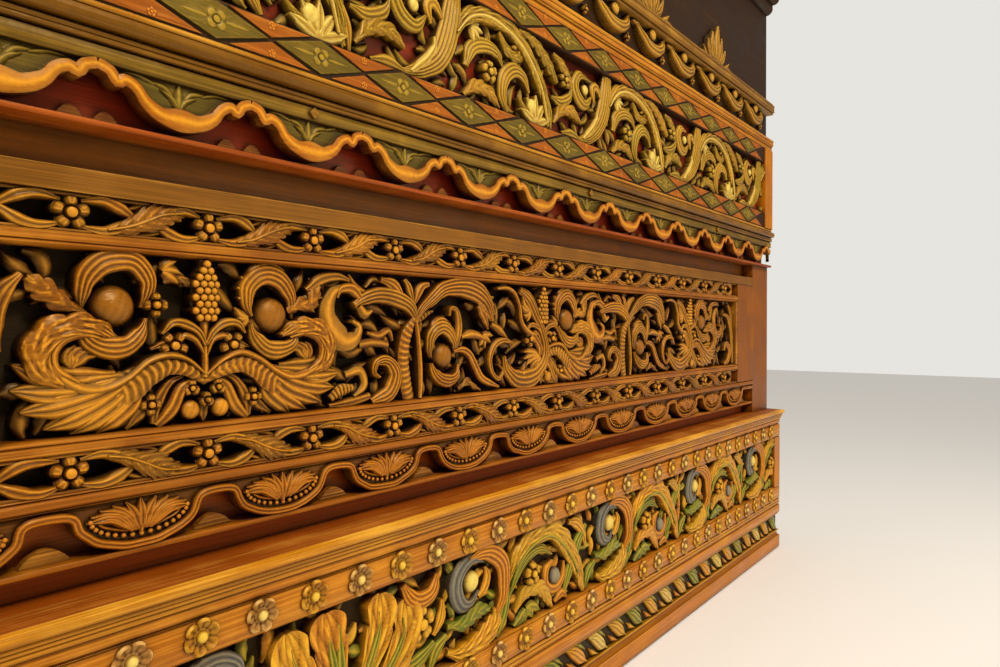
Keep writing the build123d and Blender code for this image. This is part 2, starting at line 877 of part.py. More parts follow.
def build():
    parts = {"base_sill": base_sill()}
    parts.update(uprights())
    parts.update(wall_planks())
    parts["skirting"] = skirting()
    parts["leaf_strip"] = leaf_strip()
    parts["lower_rail"] = lower_rail()
    parts["lower_rosette_band"] = rosette_band(z_lower_band)
    parts["upper_rosette_band"] = rosette_band(z_upper_band)
    parts["lower_rosettes"] = rosette_row(z_lower_band)
    parts["upper_rosettes"] = rosette_row(z_upper_band)
    parts.update(lower_stiles())
    parts.update(lower_cheeks())
    parts["lower_shelf"] = lower_shelf()
    parts["lower_cap_moulding"] = lower_cap()
    parts["lower_carved_field"] = lower_field()
    between = (left_end + post_width, right_end - post_width)
    spots = places(lobe_pitch, -0.36 * lobe_pitch, *between, lobe_pitch / 4)
    parts["valance_bead"] = bead_with_bumps(between, z_valance, bead_height, middle_front, spots, (50, 20))
    parts["carved_valance"] = valance()
    parts["valance_rail"] = valance_rail()
    parts["lower_border"] = border(z_lower_border, 1)
    parts["upper_border"] = border(z_upper_border, -1)
    parts["middle_carved_field"] = middle_field()
    parts.update(middle_stiles())
    parts.update(middle_posts())
    parts["middle_top_rail"] = middle_top_rail()
    arches = places(ribbon_pitch, -0.27 * ribbon_pitch, *full_width, ribbon_pitch / 4)
    pairs = [x + side * 0.11 * ribbon_pitch for x in arches for side in (-1, 1)]
    parts["ribbon_bead"] = bead_with_bumps(full_width, z_bead, bead_height, upper_front, pairs, (26, 16))
    parts["ribbon_recess"] = ribbon_recess()
    parts["ribbon_valance"] = ribbon_valance()
    parts["olive_fascia"] = fascia()
    parts["fascia_studs"] = fascia_studs()
    parts["half_round_moulding"] = half_round()
    inner = (left_end + upper_stile_width, right_end - upper_stile_width)
    parts["lower_lozenge_band"] = lozenge_band(z_lower_lozenge, inner)
    parts["upper_lozenge_band"] = lozenge_band(z_upper_lozenge, inner)
    parts["upper_carved_field"] = upper_field()
    parts.update(upper_stiles())
    parts["upper_top_moulding"] = upper_moulding()
    parts["bracket_board"] = dark_board(z_bracket_board, z_gold_rail)
    parts["scroll_brackets"] = scroll_brackets()
    parts["gold_rail"] = gold_rail()
    parts["antefix_board"] = dark_board(z_antefix_board, z_top_board)
    parts["antefixes"] = antefixes()
    parts["top_board"] = dark_board(z_top_board, z_cornice)
    parts["cornice"] = cornice()
    parts["cornice_cap"] = cornice_cap()
    return parts


os.makedirs("parts", exist_ok=True)
for name, part in build().items():
    export_step(part, f"parts/{name}.step")
    print(name, len(part.solids()), round(part.volume / 1e6, 2), "litres")
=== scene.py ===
import math

import bmesh
import bpy
import numpy as np
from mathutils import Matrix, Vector


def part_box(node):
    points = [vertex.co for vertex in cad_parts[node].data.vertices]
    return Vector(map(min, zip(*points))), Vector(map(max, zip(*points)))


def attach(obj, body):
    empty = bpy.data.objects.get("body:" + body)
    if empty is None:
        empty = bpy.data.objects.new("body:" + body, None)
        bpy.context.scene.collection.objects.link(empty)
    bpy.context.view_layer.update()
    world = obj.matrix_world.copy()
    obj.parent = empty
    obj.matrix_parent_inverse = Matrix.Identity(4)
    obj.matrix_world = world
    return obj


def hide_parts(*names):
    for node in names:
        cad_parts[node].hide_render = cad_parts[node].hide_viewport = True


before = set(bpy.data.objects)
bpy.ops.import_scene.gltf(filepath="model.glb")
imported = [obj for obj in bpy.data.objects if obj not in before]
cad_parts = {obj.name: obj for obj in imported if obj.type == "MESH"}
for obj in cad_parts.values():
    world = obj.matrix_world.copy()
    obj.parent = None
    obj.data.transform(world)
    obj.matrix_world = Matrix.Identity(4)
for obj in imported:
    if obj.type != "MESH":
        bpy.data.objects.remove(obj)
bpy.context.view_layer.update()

# Everything carved is set out in millimetres and made in metres.
MM = 0.001
rng = np.random.default_rng(7)


def box(node):
    """Lowest and highest corner of a CAD node, in millimetres."""
    low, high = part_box(node)
    return np.array(low) / MM, np.array(high) / MM


def spaced(anchor, pitch, start, stop):
    """Every place at this pitch from the anchor that lies between start and stop."""
    first = math.floor((start - anchor) / pitch) + 1
    return [anchor + i * pitch for i in range(first, math.ceil((stop - anchor) / pitch))]


def smooth_path(points, count):
    """Points evenly spaced along a smooth curve through the control points, and its length."""
    p = np.array(points, float)
    ends = np.vstack([2 * p[0] - p[1], p, 2 * p[-1] - p[-2]])
    t = np.linspace(0, 1, 12, endpoint=False)[:, None]
    dense = []
    for a, b, c, d in zip(ends[:-3], ends[1:-2], ends[2:-1], ends[3:]):
        cubic = 3 * b - 3 * c + d - a
        dense.append(0.5 * (2 * b + (c - a) * t + (2 * a - 5 * b + 4 * c - d) * t**2 + cubic * t**3))
    dense = np.vstack(dense + [p[-1:]])
    steps = np.hypot(*np.diff(dense, axis=0).T)
    length = np.concatenate([[0], np.cumsum(steps)])
    want = np.linspace(0, length[-1], count)
    return np.stack([np.interp(want, length, dense[:, k]) for k in (0, 1)], axis=1), length[-1]


def along(values, t):
    """A few values spread evenly from root to tip, eased between them."""
    values = np.atleast_1d(np.array(values, float))
    if len(values) == 1:
        return np.full(len(t), values[0])
    position = t * (len(values) - 1)
    low = np.minimum(position.astype(int), len(values) - 2)
    share = position - low
    share = share * share * (3 - 2 * share)
    return values[low] * (1 - share) + values[low + 1] * share


def between_petals(theta, petals, turn):
    """0 in the middle of a petal, 1 between two petals."""
    return np.abs(np.sin(petals * (theta - turn) / 2))


def notched(petals, turn, deep):
    """The outline of a round with notches between its petals."""
    return lambda theta: 1 - deep * (1 - np.abs(np.cos(petals * (theta - turn) / 2)) ** 0.6)


def put(name, data, place=(0, 0, 0), turn=(0, 0, 0)):
    """A named object with this data, in the scene."""
    holder = bpy.data.objects.new(name, data)
    holder.location, holder.rotation_euler = place, turn
    bpy.context.scene.collection.objects.link(holder)
    return holder


class Carving:
    """One carved piece: it gathers closed solids and becomes a mesh object.

    Every solid has a paint (a place in the list of materials). Its points have a rise (0 in the grooves,
    1 on the ridges), which the paints turn into painted shade and painted highlight, and a random tone, which
    the paints read. Places and lengths are millimetres.
    """

    def __init__(self, name, front, back, jitter=0.7, fine=1.0):
        self.name, self.front, self.back, self.jitter, self.fine = name, front, back, jitter, fine
        self.points, self.rise, self.tone, self.faces, self.paints = [], [], [], [], []
        self.count = 0
        self.at(0, 0)

    def at(self, x, z, mirror=1, size=1):
        """Where the next motifs' own origin lies."""
        self.origin, self.mirror, self.size = (x, z), mirror, size

    def place(self, points):
        """A motif's own points (x, z), sized, mirrored and moved to where they lie in the bay."""
        points = np.array(points, float).reshape(-1, 2) * self.size
        return points * (self.mirror, 1) + self.origin

    def add(self, points, rise, faces, paint):
        """Keeps one closed solid."""
        self.points.append(points)
        self.rise.append(rise)
        self.tone.append(np.full(len(points), rng.random()))
        self.faces += [[self.count + i for i in face] for face in faces]
        self.paints += [paint] * len(faces)
        self.count += len(points)

    def slab(self, front, rise, back, paint, rear_rise=0.0):
        """A closed solid: a grid of points in front, a flat back, and walls between."""
        n, m = front.shape[:2]
        rear = front[:, [0, -1]].copy()
        rear[..., 1] = back
        points = np.vstack([front.reshape(-1, 3), rear.reshape(-1, 3)])
        # The walls and the back take rear_rise; a low one gets painted shade from the paints.
        levels = np.concatenate([rise.reshape(-1), np.full(2 * n, rear_rise)])
        end = n * m
        faces = [[a, a + 1, a + m + 1, a + m] for i in range(n - 1) for a in range(i * m, i * m + m - 1)]
        for i in range(n - 1):
            left, right = end + 2 * i, end + 2 * i + 1
            faces += [[i * m, (i + 1) * m, left + 2, left],
                      [(i + 1) * m + m - 1, i * m + m - 1, right, right + 2],
                      [left, left + 2, right + 2, right]]
        faces += [[*range(m), end + 1, end],
                  [*range(end - 1, end - m - 1, -1), end + 2 * n - 2, end + 2 * n - 1]]
        self.add(points, levels, faces, paint)

    def blade(self, path, widths, sink, crown, ribs=0, paint=0, groove=1.4, lobes=0, cut=0.35, side=0,
              slant=0.0, veins=0, vein=1.3, sweep=0.6, tilt=0.0, round_tip=0.0, back=None, step=3.2):
        """A leaf, stem or scroll along a path.

        widths (half-widths) and sink (how far behind the front) run from root to tip. crown is how far the
        edges fall back. Ribs run along it, groove deep. Lobes notch both edges, or one side, and veins run
        across without notches, with their slant and sweep. tilt leans it to one side.
        """
        path = self.place(path)
        path = path + rng.normal(0, self.jitter, path.shape)
        length = smooth_path(path, 60)[1]
        n = int(max(7, length / (step * self.fine), 6 * lobes, 5 * veins)) + 1
        spine = smooth_path(path, n)[0]
        m = max(5, 4 * ribs + 1, 9 if veins or lobes else 0)
        t = np.linspace(0, 1, n)
        s = np.linspace(-1, 1, m)
        tangent = np.gradient(spine, axis=0)
        tangent /= np.maximum(np.hypot(*tangent.T), 1e-6)[:, None]
        normal = np.stack([-tangent[:, 1], tangent[:, 0]], axis=1) * self.mirror
        width = along(widths, t) * self.size
        if round_tip:
            past = np.clip(t - 1 + round_tip, 0, 1) / round_tip
            width = width * np.sqrt(np.clip(1 - past**2, 0.02, 1))
        reach = np.outer(width, s)
        if lobes:
            notch = 1 - np.abs(np.sin(math.pi * (lobes * t - slant))) ** 0.7
            for sign in (-1, 1):
                if side in (0, sign):
                    mask = (np.sign(s) == sign).astype(float)
                    reach *= 1 - cut * np.outer(notch, mask * np.abs(s))
        grid = spine[:, None, :] + normal[:, None, :] * reach[..., None]
        if lobes or veins:
            grid = grid + tangent[:, None, :] * (sweep * np.abs(reach) * np.abs(s))[..., None]
        # rise: painted shade at the edges and in the grooves, painted highlight on the ribs, veins and lobes.
        rise = 0.55 * (1 - np.abs(s)[None, :] ** 2) * np.ones((n, 1))
        lift = np.zeros((n, m))
        fade = np.clip(np.minimum(t, 1 - t) * 8, 0.15, 1)[:, None]
        if ribs:
            ridge = 1 - np.abs(np.cos(math.pi * ribs * (s + 1) / 2)) ** 3.5
            lift += groove * ridge[None, :] * fade
            rise = 0.25 + 0.75 * ridge[None, :] * np.ones((n, 1))
        if veins or lobes:
            phase = (lobes or veins) * t[:, None] - slant * np.abs(s)[None, :]
            wave = np.abs(np.sin(math.pi * phase)) ** 0.8
            if lobes:
                wave = 0.75 * wave + 0.25 * np.abs(np.sin(3 * math.pi * phase))
            lift += vein * wave * np.clip(np.abs(s) * 4, 0.3, 1)[None, :] * fade
            rise = 0.15 + 0.85 * wave * (0.8 + 0.4 * rise)
        curve = crown * np.abs(s)[None, :] ** 2.2 + tilt * (s[None, :] + 1) / 2
        depth = self.front + along(sink, t)[:, None] + curve - lift
        front = np.dstack([grid[..., 0], depth, grid[..., 1]])
        self.slab(front, rise, self.back if back is None else back, paint)

    def leaf(self, root, tip, width, sink, crown, ribs=0, bow=0.0, paint=0, **options):
        """A simple leaf from root to tip, bowed to the left by a share of its length."""
        root, tip = np.array(root, float), np.array(tip, float)
        run = tip - root
        middle = (root + tip) / 2 + bow * np.array([-run[1], run[0]])
        widths = (width * 0.55, width, width * 0.8, width * 0.2)
        self.blade([root, middle, tip], widths, sink, crown, ribs, paint, **options)

    def fan(self, root, tips, *options):
        """Leaves from one root to several tips."""
        for tip in zip(tips[::2], tips[1::2]):
            self.leaf(root, tip, *options)

    def round(self, x, z, radius, profile, outline, pattern, petals, sink, paint, back):
        """A round solid: profile(share of radius) is how far it stands out, in millimetres."""
        x, z = self.place((x, z))[0]
        radius = radius * self.size
        small = radius < 9 and not outline
        shares = np.array([0, 0.4, 0.75, 0.93, 1.0] if small else
                          [0, 0.14, 0.27, 0.35, 0.48, 0.62, 0.76, 0.88, 0.96, 1.0])
        around = 12 if small else max(16, petals * 6)
        theta = np.linspace(0, 2 * math.pi, around, endpoint=False)
        notch = 1 - outline(theta) if outline else np.zeros(around)
        outer = np.clip((shares[1:] - 0.35) / 0.3, 0, 1)
        grid_r = radius * shares[1:, None] * (1 - np.outer(outer, notch))
        px = x + grid_r * np.sin(theta)
        pz = z + grid_r * np.cos(theta)
        height = np.array([profile(share) for share in shares])
        lift = np.repeat(height[1:, None], around, axis=1)
        # rise: painted highlight where the round stands out most, painted shade where it is low and on its
        # wall.
        rise = np.clip(lift / max(0.58 * height.max(), 0.1), 0, 1)
        if pattern:
            extra = pattern(np.repeat(shares[1:, None], around, axis=1), theta[None, :])
            lift = lift + extra
            rise = np.clip(rise + extra * 0.25, 0, 1)
        ring = np.dstack([px, self.front + sink - lift, pz]).reshape(-1, 3)
        wall = np.stack([px[-1], np.full(around, self.back if back is None else back), pz[-1]], axis=1)
        points = np.vstack([[[x, self.front + sink - height[0], z]], ring, wall])
        levels = np.concatenate([[1.0], rise.reshape(-1), np.zeros(around)])
        faces = [[0, 1 + j, 1 + (j + 1) % around] for j in range(around)]
        rings = len(shares) - 1
        for i in range(rings):
            for j in range(around):
                a, b = 1 + i * around + j, 1 + i * around + (j + 1) % around
                faces.append([a, a + around, b + around, b])
        faces.append([1 + rings * around + j for j in range(around)])
        self.add(points, levels, faces, paint)

    def flower(self, x, z, radius, petals, height, boss, sink, paint=0, turn=0.0):
        """Rounded petals with deep notches, round a domed boss; a large flower's petals are broader."""
        deep, sharp = (0.3, 5) if radius < 21 else (0.2, 11)

        def profile(share):
            if share < 0.3:
                return 0.8 * height + boss * math.sqrt(1 - (share / 0.31) ** 2)
            if share < 0.4:
                return 0.25 * height
            if share > 0.93:
                return 0.4 * height
            return height * (0.65 + 0.35 * math.sin((share - 0.4) / 0.55 * math.pi))

        def pattern(share, theta):
            across = between_petals(theta, petals, turn)
            vein = (share > 0.5) * (share < 0.9) * np.clip(1 - 5 * across, 0, 1)
            return -0.1 * height * vein - 0.5 * height * (across**sharp) * (share > 0.36)

        self.round(x, z, radius, profile, notched(petals, turn, deep), pattern, petals, sink, paint, None)

    def rosette(self, radius, petals, height, sink, paint, turn, back):
        """A ring of cupped petals with a raised rim, round a sunk ring."""
        def profile(share):
            if share < 0.36:
                return height * 0.3
            if share > 0.9:
                return height * (0.85 - 3 * (share - 0.9))
            return height * (0.35 + 0.65 * (share - 0.36) / 0.5)

        def pattern(share, theta):
            across = between_petals(theta, petals, turn)
            cup = (share > 0.4) * (share < 0.88) * (1 - across**2)
            return -0.42 * height * cup - 0.5 * height * (across**7) * (share > 0.4)

        self.round(0, 0, radius, profile, notched(petals, turn, 0.2), pattern, petals, sink, paint, back)

    def ball(self, x, z, radius, height, grooves, sink, paint=0, back=None):
        """A domed boss with shallow lines from pole to pole."""
        lean = 0.4

        def profile(share):
            return height * math.sqrt(max(1 - share**2, 0))

        def pattern(share, theta):
            across = share * np.sin(theta - lean)
            up = np.clip(share * np.cos(theta - lean), -0.97, 0.97)
            meridian = across / np.sqrt(1 - up**2)
            return 0.5 * np.abs(np.sin(math.pi * grooves * meridian / 2)) - 0.4

        self.round(x, z, radius, profile, None, pattern if grooves else None, 5, sink, paint, back)

    def plate(self, outline, front, back, paint=0):
        """A flat board with this outline of (x, z) points."""
        outline = self.place(outline)
        n = len(outline)
        points = [np.column_stack([outline[:, 0], np.full(n, y), outline[:, 1]]) for y in (front, back)]
        faces = [list(range(n)), [2 * n - 1 - i for i in range(n)]]
        faces += [[i, (i + 1) % n, n + (i + 1) % n, n + i] for i in range(n)]
        self.add(np.vstack(points), np.full(2 * n, 0.3), faces, paint)

    def rail(self, x0, x1, z0, z1, front, back, nose=3.0, paint=0):
        """A long strip with rounded front edges, waving a little as hand-planed strips do."""
        xs = np.linspace(x0, x1, 41)
        turns = np.linspace(0, math.pi / 2, 4)
        section = [(z0 + nose * (1 - math.cos(a)), front + nose * (1 - math.sin(a))) for a in turns]
        section += [(z1 - nose * (1 - math.cos(a)), front + nose * (1 - math.sin(a))) for a in turns[::-1]]
        wave = 0.5 * np.sin(xs * 0.013 + z0) + 0.3 * np.sin(xs * 0.041 + 2 * z0)
        grid = np.array([[(x, y + 0.35 * w + 0.3, z + 0.4 * w) for z, y in section]
                         for x, w in zip(xs, wave)])
        self.slab(grid, np.full(grid.shape[:2], 0.66), back, paint, 0.5)

    def strip(self, x0, x1, profile, back, paint=0):
        """A moulding run along the bay: profile is a list of (z, y) from its lower to its upper edge."""
        xs = np.linspace(x0, x1, 49)
        sway = 0.3 * (np.sin(xs * 0.013 + profile[0][0]) + 0.6 * np.sin(xs * 0.043 + 2 * profile[0][0]))
        grid = np.array([[(x, y + 0.6 * abs(w), z) for z, y in profile] for x, w in zip(xs, sway)])
        self.slab(grid, np.full(grid.shape[:2], 0.66), back, paint, 0.5)

    def undergrowth(self, x0, x1, z0, z1, pitch, sink, paints=(0,), skip=0.25, width=9):
        """Small leaves at a lower level, which show between the main ones."""
        self.at(0, 0)
        for gx in np.arange(x0 + pitch / 2, x1, pitch):
            for gz in np.arange(z0 + pitch / 2, z1, pitch):
                if rng.random() < skip:
                    continue
                x, z = gx + rng.uniform(-8, 8), gz + rng.uniform(-8, 8)
                angle = rng.uniform(0, 2 * math.pi)
                bow = rng.uniform(-0.5, 0.5)
                reach = rng.uniform(18, 30)
                points = []
                for share in (-1, -0.3, 0.4, 1):
                    px = x + reach * share * math.cos(angle + bow * share)
                    pz = z + reach * share * math.sin(angle + bow * share)
                    points.append((min(max(px, x0 + 3), x1 - 3), min(max(pz, z0 + 3), z1 - 3)))
                sinks = (sink + rng.uniform(0, 3), sink, sink + 3)
                self.blade(points, (3, width, width * 0.8, 2), sinks, 3, 1, int(rng.choice(paints)),
                           groove=1.8, step=7)

    def finish(self, materials, node, limit=35):
        """The mesh object, in metres, standing for a CAD node."""
        mesh = bpy.data.meshes.new(self.name)
        mesh.from_pydata((np.vstack(self.points) * MM).tolist(), [], self.faces)
        for title, values in (("rise", self.rise), ("tone", self.tone)):
            attribute = mesh.attributes.new(title, "FLOAT", "POINT")
            attribute.data.foreach_set("value", np.concatenate(values).astype(np.float32))
        for material in materials:
            mesh.materials.append(material)
        mesh.polygons.foreach_set("material_index", np.array(self.paints, np.int32))
        work = bmesh.new()
        work.from_mesh(mesh)
        bmesh.ops.recalc_face_normals(work, faces=work.faces)
        work.to_mesh(mesh)
        work.free()
        mesh.shade_smooth()
        mesh.set_sharp_from_angle(angle=math.radians(limit))
        piece = put(self.name, mesh)
        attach(piece, "root")
        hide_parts(node)
        return piece


def clip_sideways(piece, start, stop):
    """Cuts a piece off at two planes across the bay, so that nothing reaches into the stiles."""
    work = bmesh.new()
    work.from_mesh(piece.data)
    for x, direction in ((start, -1), (stop, 1)):
        geometry = list(work.verts) + list(work.edges) + list(work.faces)
        cut = bmesh.ops.bisect_plane(work, geom=geometry, plane_co=(x * MM, 0, 0),
                                     plane_no=(direction, 0, 0), clear_outer=True)
        bmesh.ops.holes_fill(work, edges=[e for e in cut["geom_cut"] if isinstance(e, bmesh.types.BMEdge)])
    work.to_mesh(piece.data)
    work.free()


# Paints. Colours are red, green and blue in thousandths.


def warm(colour, share):
    """A warm tint that stands in for warm light, painted into every paint: less green and much less blue."""
    red, green, blue = (value / 1000 for value in colour)
    return min(red * (1 + 0.14 * share), 0.92), green * (1 - 0.10 * share), blue * (1 - 0.68 * share)


def paint(title, deep, body, crest, roughness=0.45, second=None, depth=None, grain=(0.7, 45, 45), spots=0.0,
          spot=(100, 50, 20), wear=0.25, worn=(750, 500, 200), bump=0.38, carved=True, warmth=1.0, bare=None):
    """Painted or stained wood with grain, dirt and wear, with painted shade in the depths and creases and
    pale ridges that are partly rubbed wear and partly painted highlight.

    second is another body colour for some of the leaves. depth is the pair of planes between which painted
    shade darkens the paint. bare is the plane behind which the timber was never painted.
    """
    # Every colour takes the warm tint, painted light in place of the lamp's warmth; warmth sets how much of
    # it.
    deep, body, crest, spot, worn = (warm(c, warmth) for c in (deep, body, crest, spot, worn))
    material = bpy.data.materials.new(title)
    material.use_nodes = True
    tree = material.node_tree
    tree.nodes.clear()

    def feed(socket, value):
        if isinstance(value, (int, float)):
            socket.default_value = value
        elif isinstance(value, tuple):
            socket.default_value = (*value, 1) if socket.type == "RGBA" else value
        else:
            tree.links.new(value, socket)

    def make(kind, inputs=(), **settings):
        node = tree.nodes.new("ShaderNode" + kind)
        for name, value in settings.items():
            setattr(node, name, value)
        for name, value in dict(inputs).items():
            feed(node.inputs[name], value)
        return node

    shader = make("BsdfPrincipled")
    tree.links.new(shader.outputs[0], make("OutputMaterial").inputs[0])
    place = make("TexCoord").outputs["Object"]

    def noise(scale, detail=4, stretch=(1, 1, 1), rough=0.55):
        stretched = make("Mapping", {"Vector": place, "Scale": stretch}).outputs[0]
        inputs = {"Vector": stretched, "Scale": scale, "Detail": detail, "Roughness": rough}
        return make("TexNoise", inputs).outputs["Fac"]

    def ramp(value, low, high, start=0.0, stop=1.0):
        inputs = {"Value": value, "From Min": low, "From Max": high, "To Min": start, "To Max": stop}
        return make("MapRange", inputs, interpolation_type="SMOOTHSTEP").outputs[0]

    def maths(operation, first, other):
        return make("Math", {0: first, 1: other}, operation=operation).outputs[0]

    def mix(share, first, other):
        # Sockets 0, 6 and 7 are the factor and the two colours, and output 2 is the mixed colour.
        node = make("Mix", data_type="RGBA")
        for socket, value in zip((0, 6, 7), (share, first, other)):
            feed(node.inputs[socket], value)
        return node.outputs[2]

    def attribute(name):
        return make("Attribute", attribute_name=name).outputs["Fac"]

    def across_wall(low, high, stop=1.0):
        """0 to stop between two planes behind each other, in millimetres."""
        split = make("SeparateXYZ", {0: place})
        return ramp(split.outputs["Y"], low * MM, high * MM, 0.0, stop)

    fibre = noise(1.0, 4, tuple(9 * g for g in grain), 0.55)
    patch = noise(11, 5)
    grit = noise(170, 3)
    colour = mix(ramp(fibre, 0.35, 0.65), tuple(0.66 * c for c in body), body)
    if second:
        blend = maths("ADD", maths("MULTIPLY", attribute("tone"), 0.6), maths("MULTIPLY", patch, 0.6))
        colour = mix(ramp(blend, 0.35, 0.85), colour, warm(second, warmth))
    colour = mix(ramp(patch, 0.42, 0.75, 0.0, 0.3), colour, crest)
    if carved:
        # Painted shade: a low rise, in the grooves and on the walls, takes the deep colour. Painted highlight
        # with rubbed wear: a high rise, on the ridges, takes the crest colour.
        rough_rise = maths("ADD", attribute("rise"), maths("MULTIPLY", maths("SUBTRACT", grit, 0.5), 0.22))
        colour = mix(ramp(rough_rise, 0.05, 0.6, 0.9, 0.0), colour, deep)
        colour = mix(ramp(rough_rise, 0.72, 1.1, 0.0, 0.8), colour, crest)
    geometry = make("NewGeometry")
    pointiness = geometry.outputs["Pointiness"]
    streak = ramp(maths("ADD", maths("MULTIPLY", fibre, 0.6), maths("MULTIPLY", patch, 0.4)), 0.42, 0.62)
    if carved:
        rubbed = maths("MULTIPLY", ramp(pointiness, 0.52, 0.62), streak)
        # Painted shade in concave creases, where the surface curves inward.
        colour = mix(ramp(pointiness, 0.49, 0.42, 0.0, 0.7), colour, deep)
    else:
        # A wide bevel's normal leaves the face's own only beside an edge.
        wide = make("Bevel", {"Radius": 0.005}, samples=4).outputs[0]
        turn = make("VectorMath", {0: wide, 1: geometry.outputs["True Normal"]}, operation="DOT_PRODUCT")
        rubbed = maths("MULTIPLY", ramp(turn.outputs["Value"], 0.995, 0.85), streak)
    colour = mix(maths("MULTIPLY", rubbed, wear), colour, worn)
    if spots:
        colour = mix(ramp(noise(9, 6, rough=0.7), 0.45, 0.8, 0.0, spots), colour, spot)
    # Painted shade: ambient occlusion darkens crevices and tight corners towards the deep colour.
    crevice_shade = make("AmbientOcclusion", {"Distance": 0.022}, samples=3)
    colour = mix(ramp(crevice_shade.outputs["AO"], 0.97, 0.4, 0.0, 0.92), colour, deep)
    # Painted shade: the paint darkens towards the deep colour the farther it lies behind the face, between
    # the two depth planes.
    if depth:
        colour = mix(across_wall(*depth, 0.93), colour, deep)
    if bare is not None:
        sawn = mix(ramp(fibre, 0.35, 0.65), (0.15, 0.085, 0.04), (0.27, 0.165, 0.085))
        colour = mix(across_wall(bare + 1, bare + 2), colour, sawn)
    shine = maths("ADD", maths("MULTIPLY", ramp(patch, 0.3, 0.7), 0.2), roughness - 0.1)
    chips = maths("MULTIPLY", noise(75, 2, rough=0.4), 1.3 if carved else 0.3)
    surface = maths("ADD", maths("ADD", fibre, maths("MULTIPLY", grit, 0.25)), chips)
    relief = make("Bump", {"Strength": bump, "Distance": 0.0012, "Height": surface})
    if not carved:
        feed(relief.inputs["Normal"], make("Bevel", {"Radius": 0.0015}, samples=3).outputs[0])
    for name, value in (("Base Color", colour), ("Roughness", shine), ("Normal", relief.outputs[0]),
                        ("Specular IOR Level", 0.36), ("Specular Tint", (1.0, 0.76, 0.42))):
        feed(shader.inputs[name], value)
    return material


def board_paint(*colours, **options):
    """The paint of a CAD node or a ground, which has no carved rise."""
    return paint(*colours, carved=False, **options)


# Where the planks and the four tiers have their faces, from the CAD.
plank_front = box("middle_carved_field")[1][1]
middle_front = box("middle_top_rail")[0][1] + 2
upper_front = box("olive_fascia")[0][1] - 2
lower_front = box("lower_rail")[0][1]
dark_front = box("bracket_board")[0][1]
# The grain of a board that stands upright.
UPRIGHT = (45, 45, 0.7)

# depth gives these paints painted shade behind the face.
golden = paint("golden_carving", (12, 4.5, 1.5), (260, 98, 11), (780, 410, 65), 0.4, second=(180, 88, 13),
               depth=(middle_front + 6, middle_front + 24), spots=0.55, spot=(85, 32, 5))
ball_brown = paint("boss_carving", (12, 5, 2), (140, 55, 10), (340, 160, 30), 0.36)
strip_gold = paint("golden_strip", (20, 7, 2), (300, 105, 11), (640, 300, 45), 0.4, spots=0.5,
                   spot=(100, 35, 5))
# depth gives the ribbon painted shade behind its face.
ribbon_gold = paint("ribbon_paint", (50, 9, 3), (420, 150, 14), (820, 450, 60), 0.4, second=(320, 130, 16),
                    depth=(upper_front + 8, upper_front + 24), spots=0.5, spot=(150, 45, 6))
bump_red = paint("bump_paint", (40, 7, 2), (300, 66, 8), (500, 160, 20), 0.42)
red_post = board_paint("red_brown_post", (40, 10, 3), (250, 88, 10), (420, 150, 18), 0.42, wear=0.5,
                       worn=(600, 300, 80), grain=UPRIGHT)
red_strip = paint("red_brown_strip", (40, 10, 3), (300, 108, 10), (540, 240, 28), 0.4, wear=0.7,
                  worn=(660, 360, 90))
light_rail = board_paint("light_rail", (50, 17, 5), (200, 92, 16), (300, 145, 28), 0.42, wear=0.6,
                         worn=(620, 400, 140))
wall_red = board_paint("wall_board", (50, 9, 2), (480, 105, 8), (580, 160, 14), wear=0.2)
wall_plank = board_paint("wall_plank_paint", (50, 9, 2), (480, 105, 8), (580, 160, 14), wear=0.2,
                         bare=plank_front)
# The board under the ribbon: its own paint with painted shade, browner and darker than the other planks for
# the shade the ribbon casts.
wall_brown = board_paint("wall_board_brown", (20, 6, 2), (240, 88, 8), (360, 155, 16), 0.42, wear=0.3,
                         spots=0.4, spot=(70, 20, 5), bare=plank_front)
# Painted shade: the board seen through the middle field is the same board as the others, painted near black
# for the shade it stands in.
wall_painted_shade = board_paint("wall_board_dark", (4, 2, 1), (14, 6, 3), (22, 9, 4), 0.7, wear=0.0, bare=plank_front)
timber = board_paint("sawn_timber", (80, 45, 20), (300, 180, 90), (420, 270, 150), 0.7, grain=UPRIGHT,
                     wear=0.2, bump=0.6, warmth=0.2)
timber_sill = board_paint("sawn_sill", (80, 45, 20), (300, 180, 90), (420, 270, 150), 0.7, wear=0.2, bump=0.6,
                          warmth=0.2)
orange_gold = board_paint("orange_gold_paint", (100, 30, 6), (500, 195, 10), (660, 340, 32), 0.4, wear=0.6,
                          worn=(750, 480, 140), spots=0.4, spot=(200, 65, 12))
orange_post = board_paint("orange_gold_stile", (100, 30, 6), (500, 195, 10), (640, 320, 30), 0.4, wear=0.6,
                          worn=(750, 480, 140), grain=UPRIGHT, spots=0.4, spot=(200, 65, 12))
orange_strip = paint("orange_strip", (50, 14, 4), (500, 195, 10), (660, 340, 30), 0.4, wear=0.7,
                     worn=(750, 480, 140), spots=0.4, spot=(200, 65, 12))
gold_strip = paint("gold_strip", (40, 14, 4), (560, 270, 25), (780, 480, 80), 0.36, wear=0.7,
                   worn=(820, 600, 220), spots=0.3, spot=(260, 100, 20))
shelf_board = board_paint("shelf_board", (40, 8, 2), (270, 70, 8), (420, 130, 14), wear=0.2, spots=0.3,
                          spot=(120, 30, 6))
board_strip = paint("board_strip", (40, 8, 2), (250, 66, 8), (400, 130, 14), spots=0.3, spot=(160, 35, 6))
olive_round = paint("olive_round", (20, 9, 2), (190, 95, 10), (500, 300, 45), 0.34, wear=0.6,
                    worn=(700, 480, 140), spots=0.6, spot=(90, 35, 8))
rosette_ochre = paint("rosette_ochre", (35, 13, 4), (560, 280, 30), (840, 580, 160), 0.38,
                      second=(500, 290, 70))
rosette_pale = paint("rosette_pale", (35, 13, 6), (500, 290, 90), (820, 620, 340), 0.38,
                     second=(460, 240, 80), warmth=0.7)
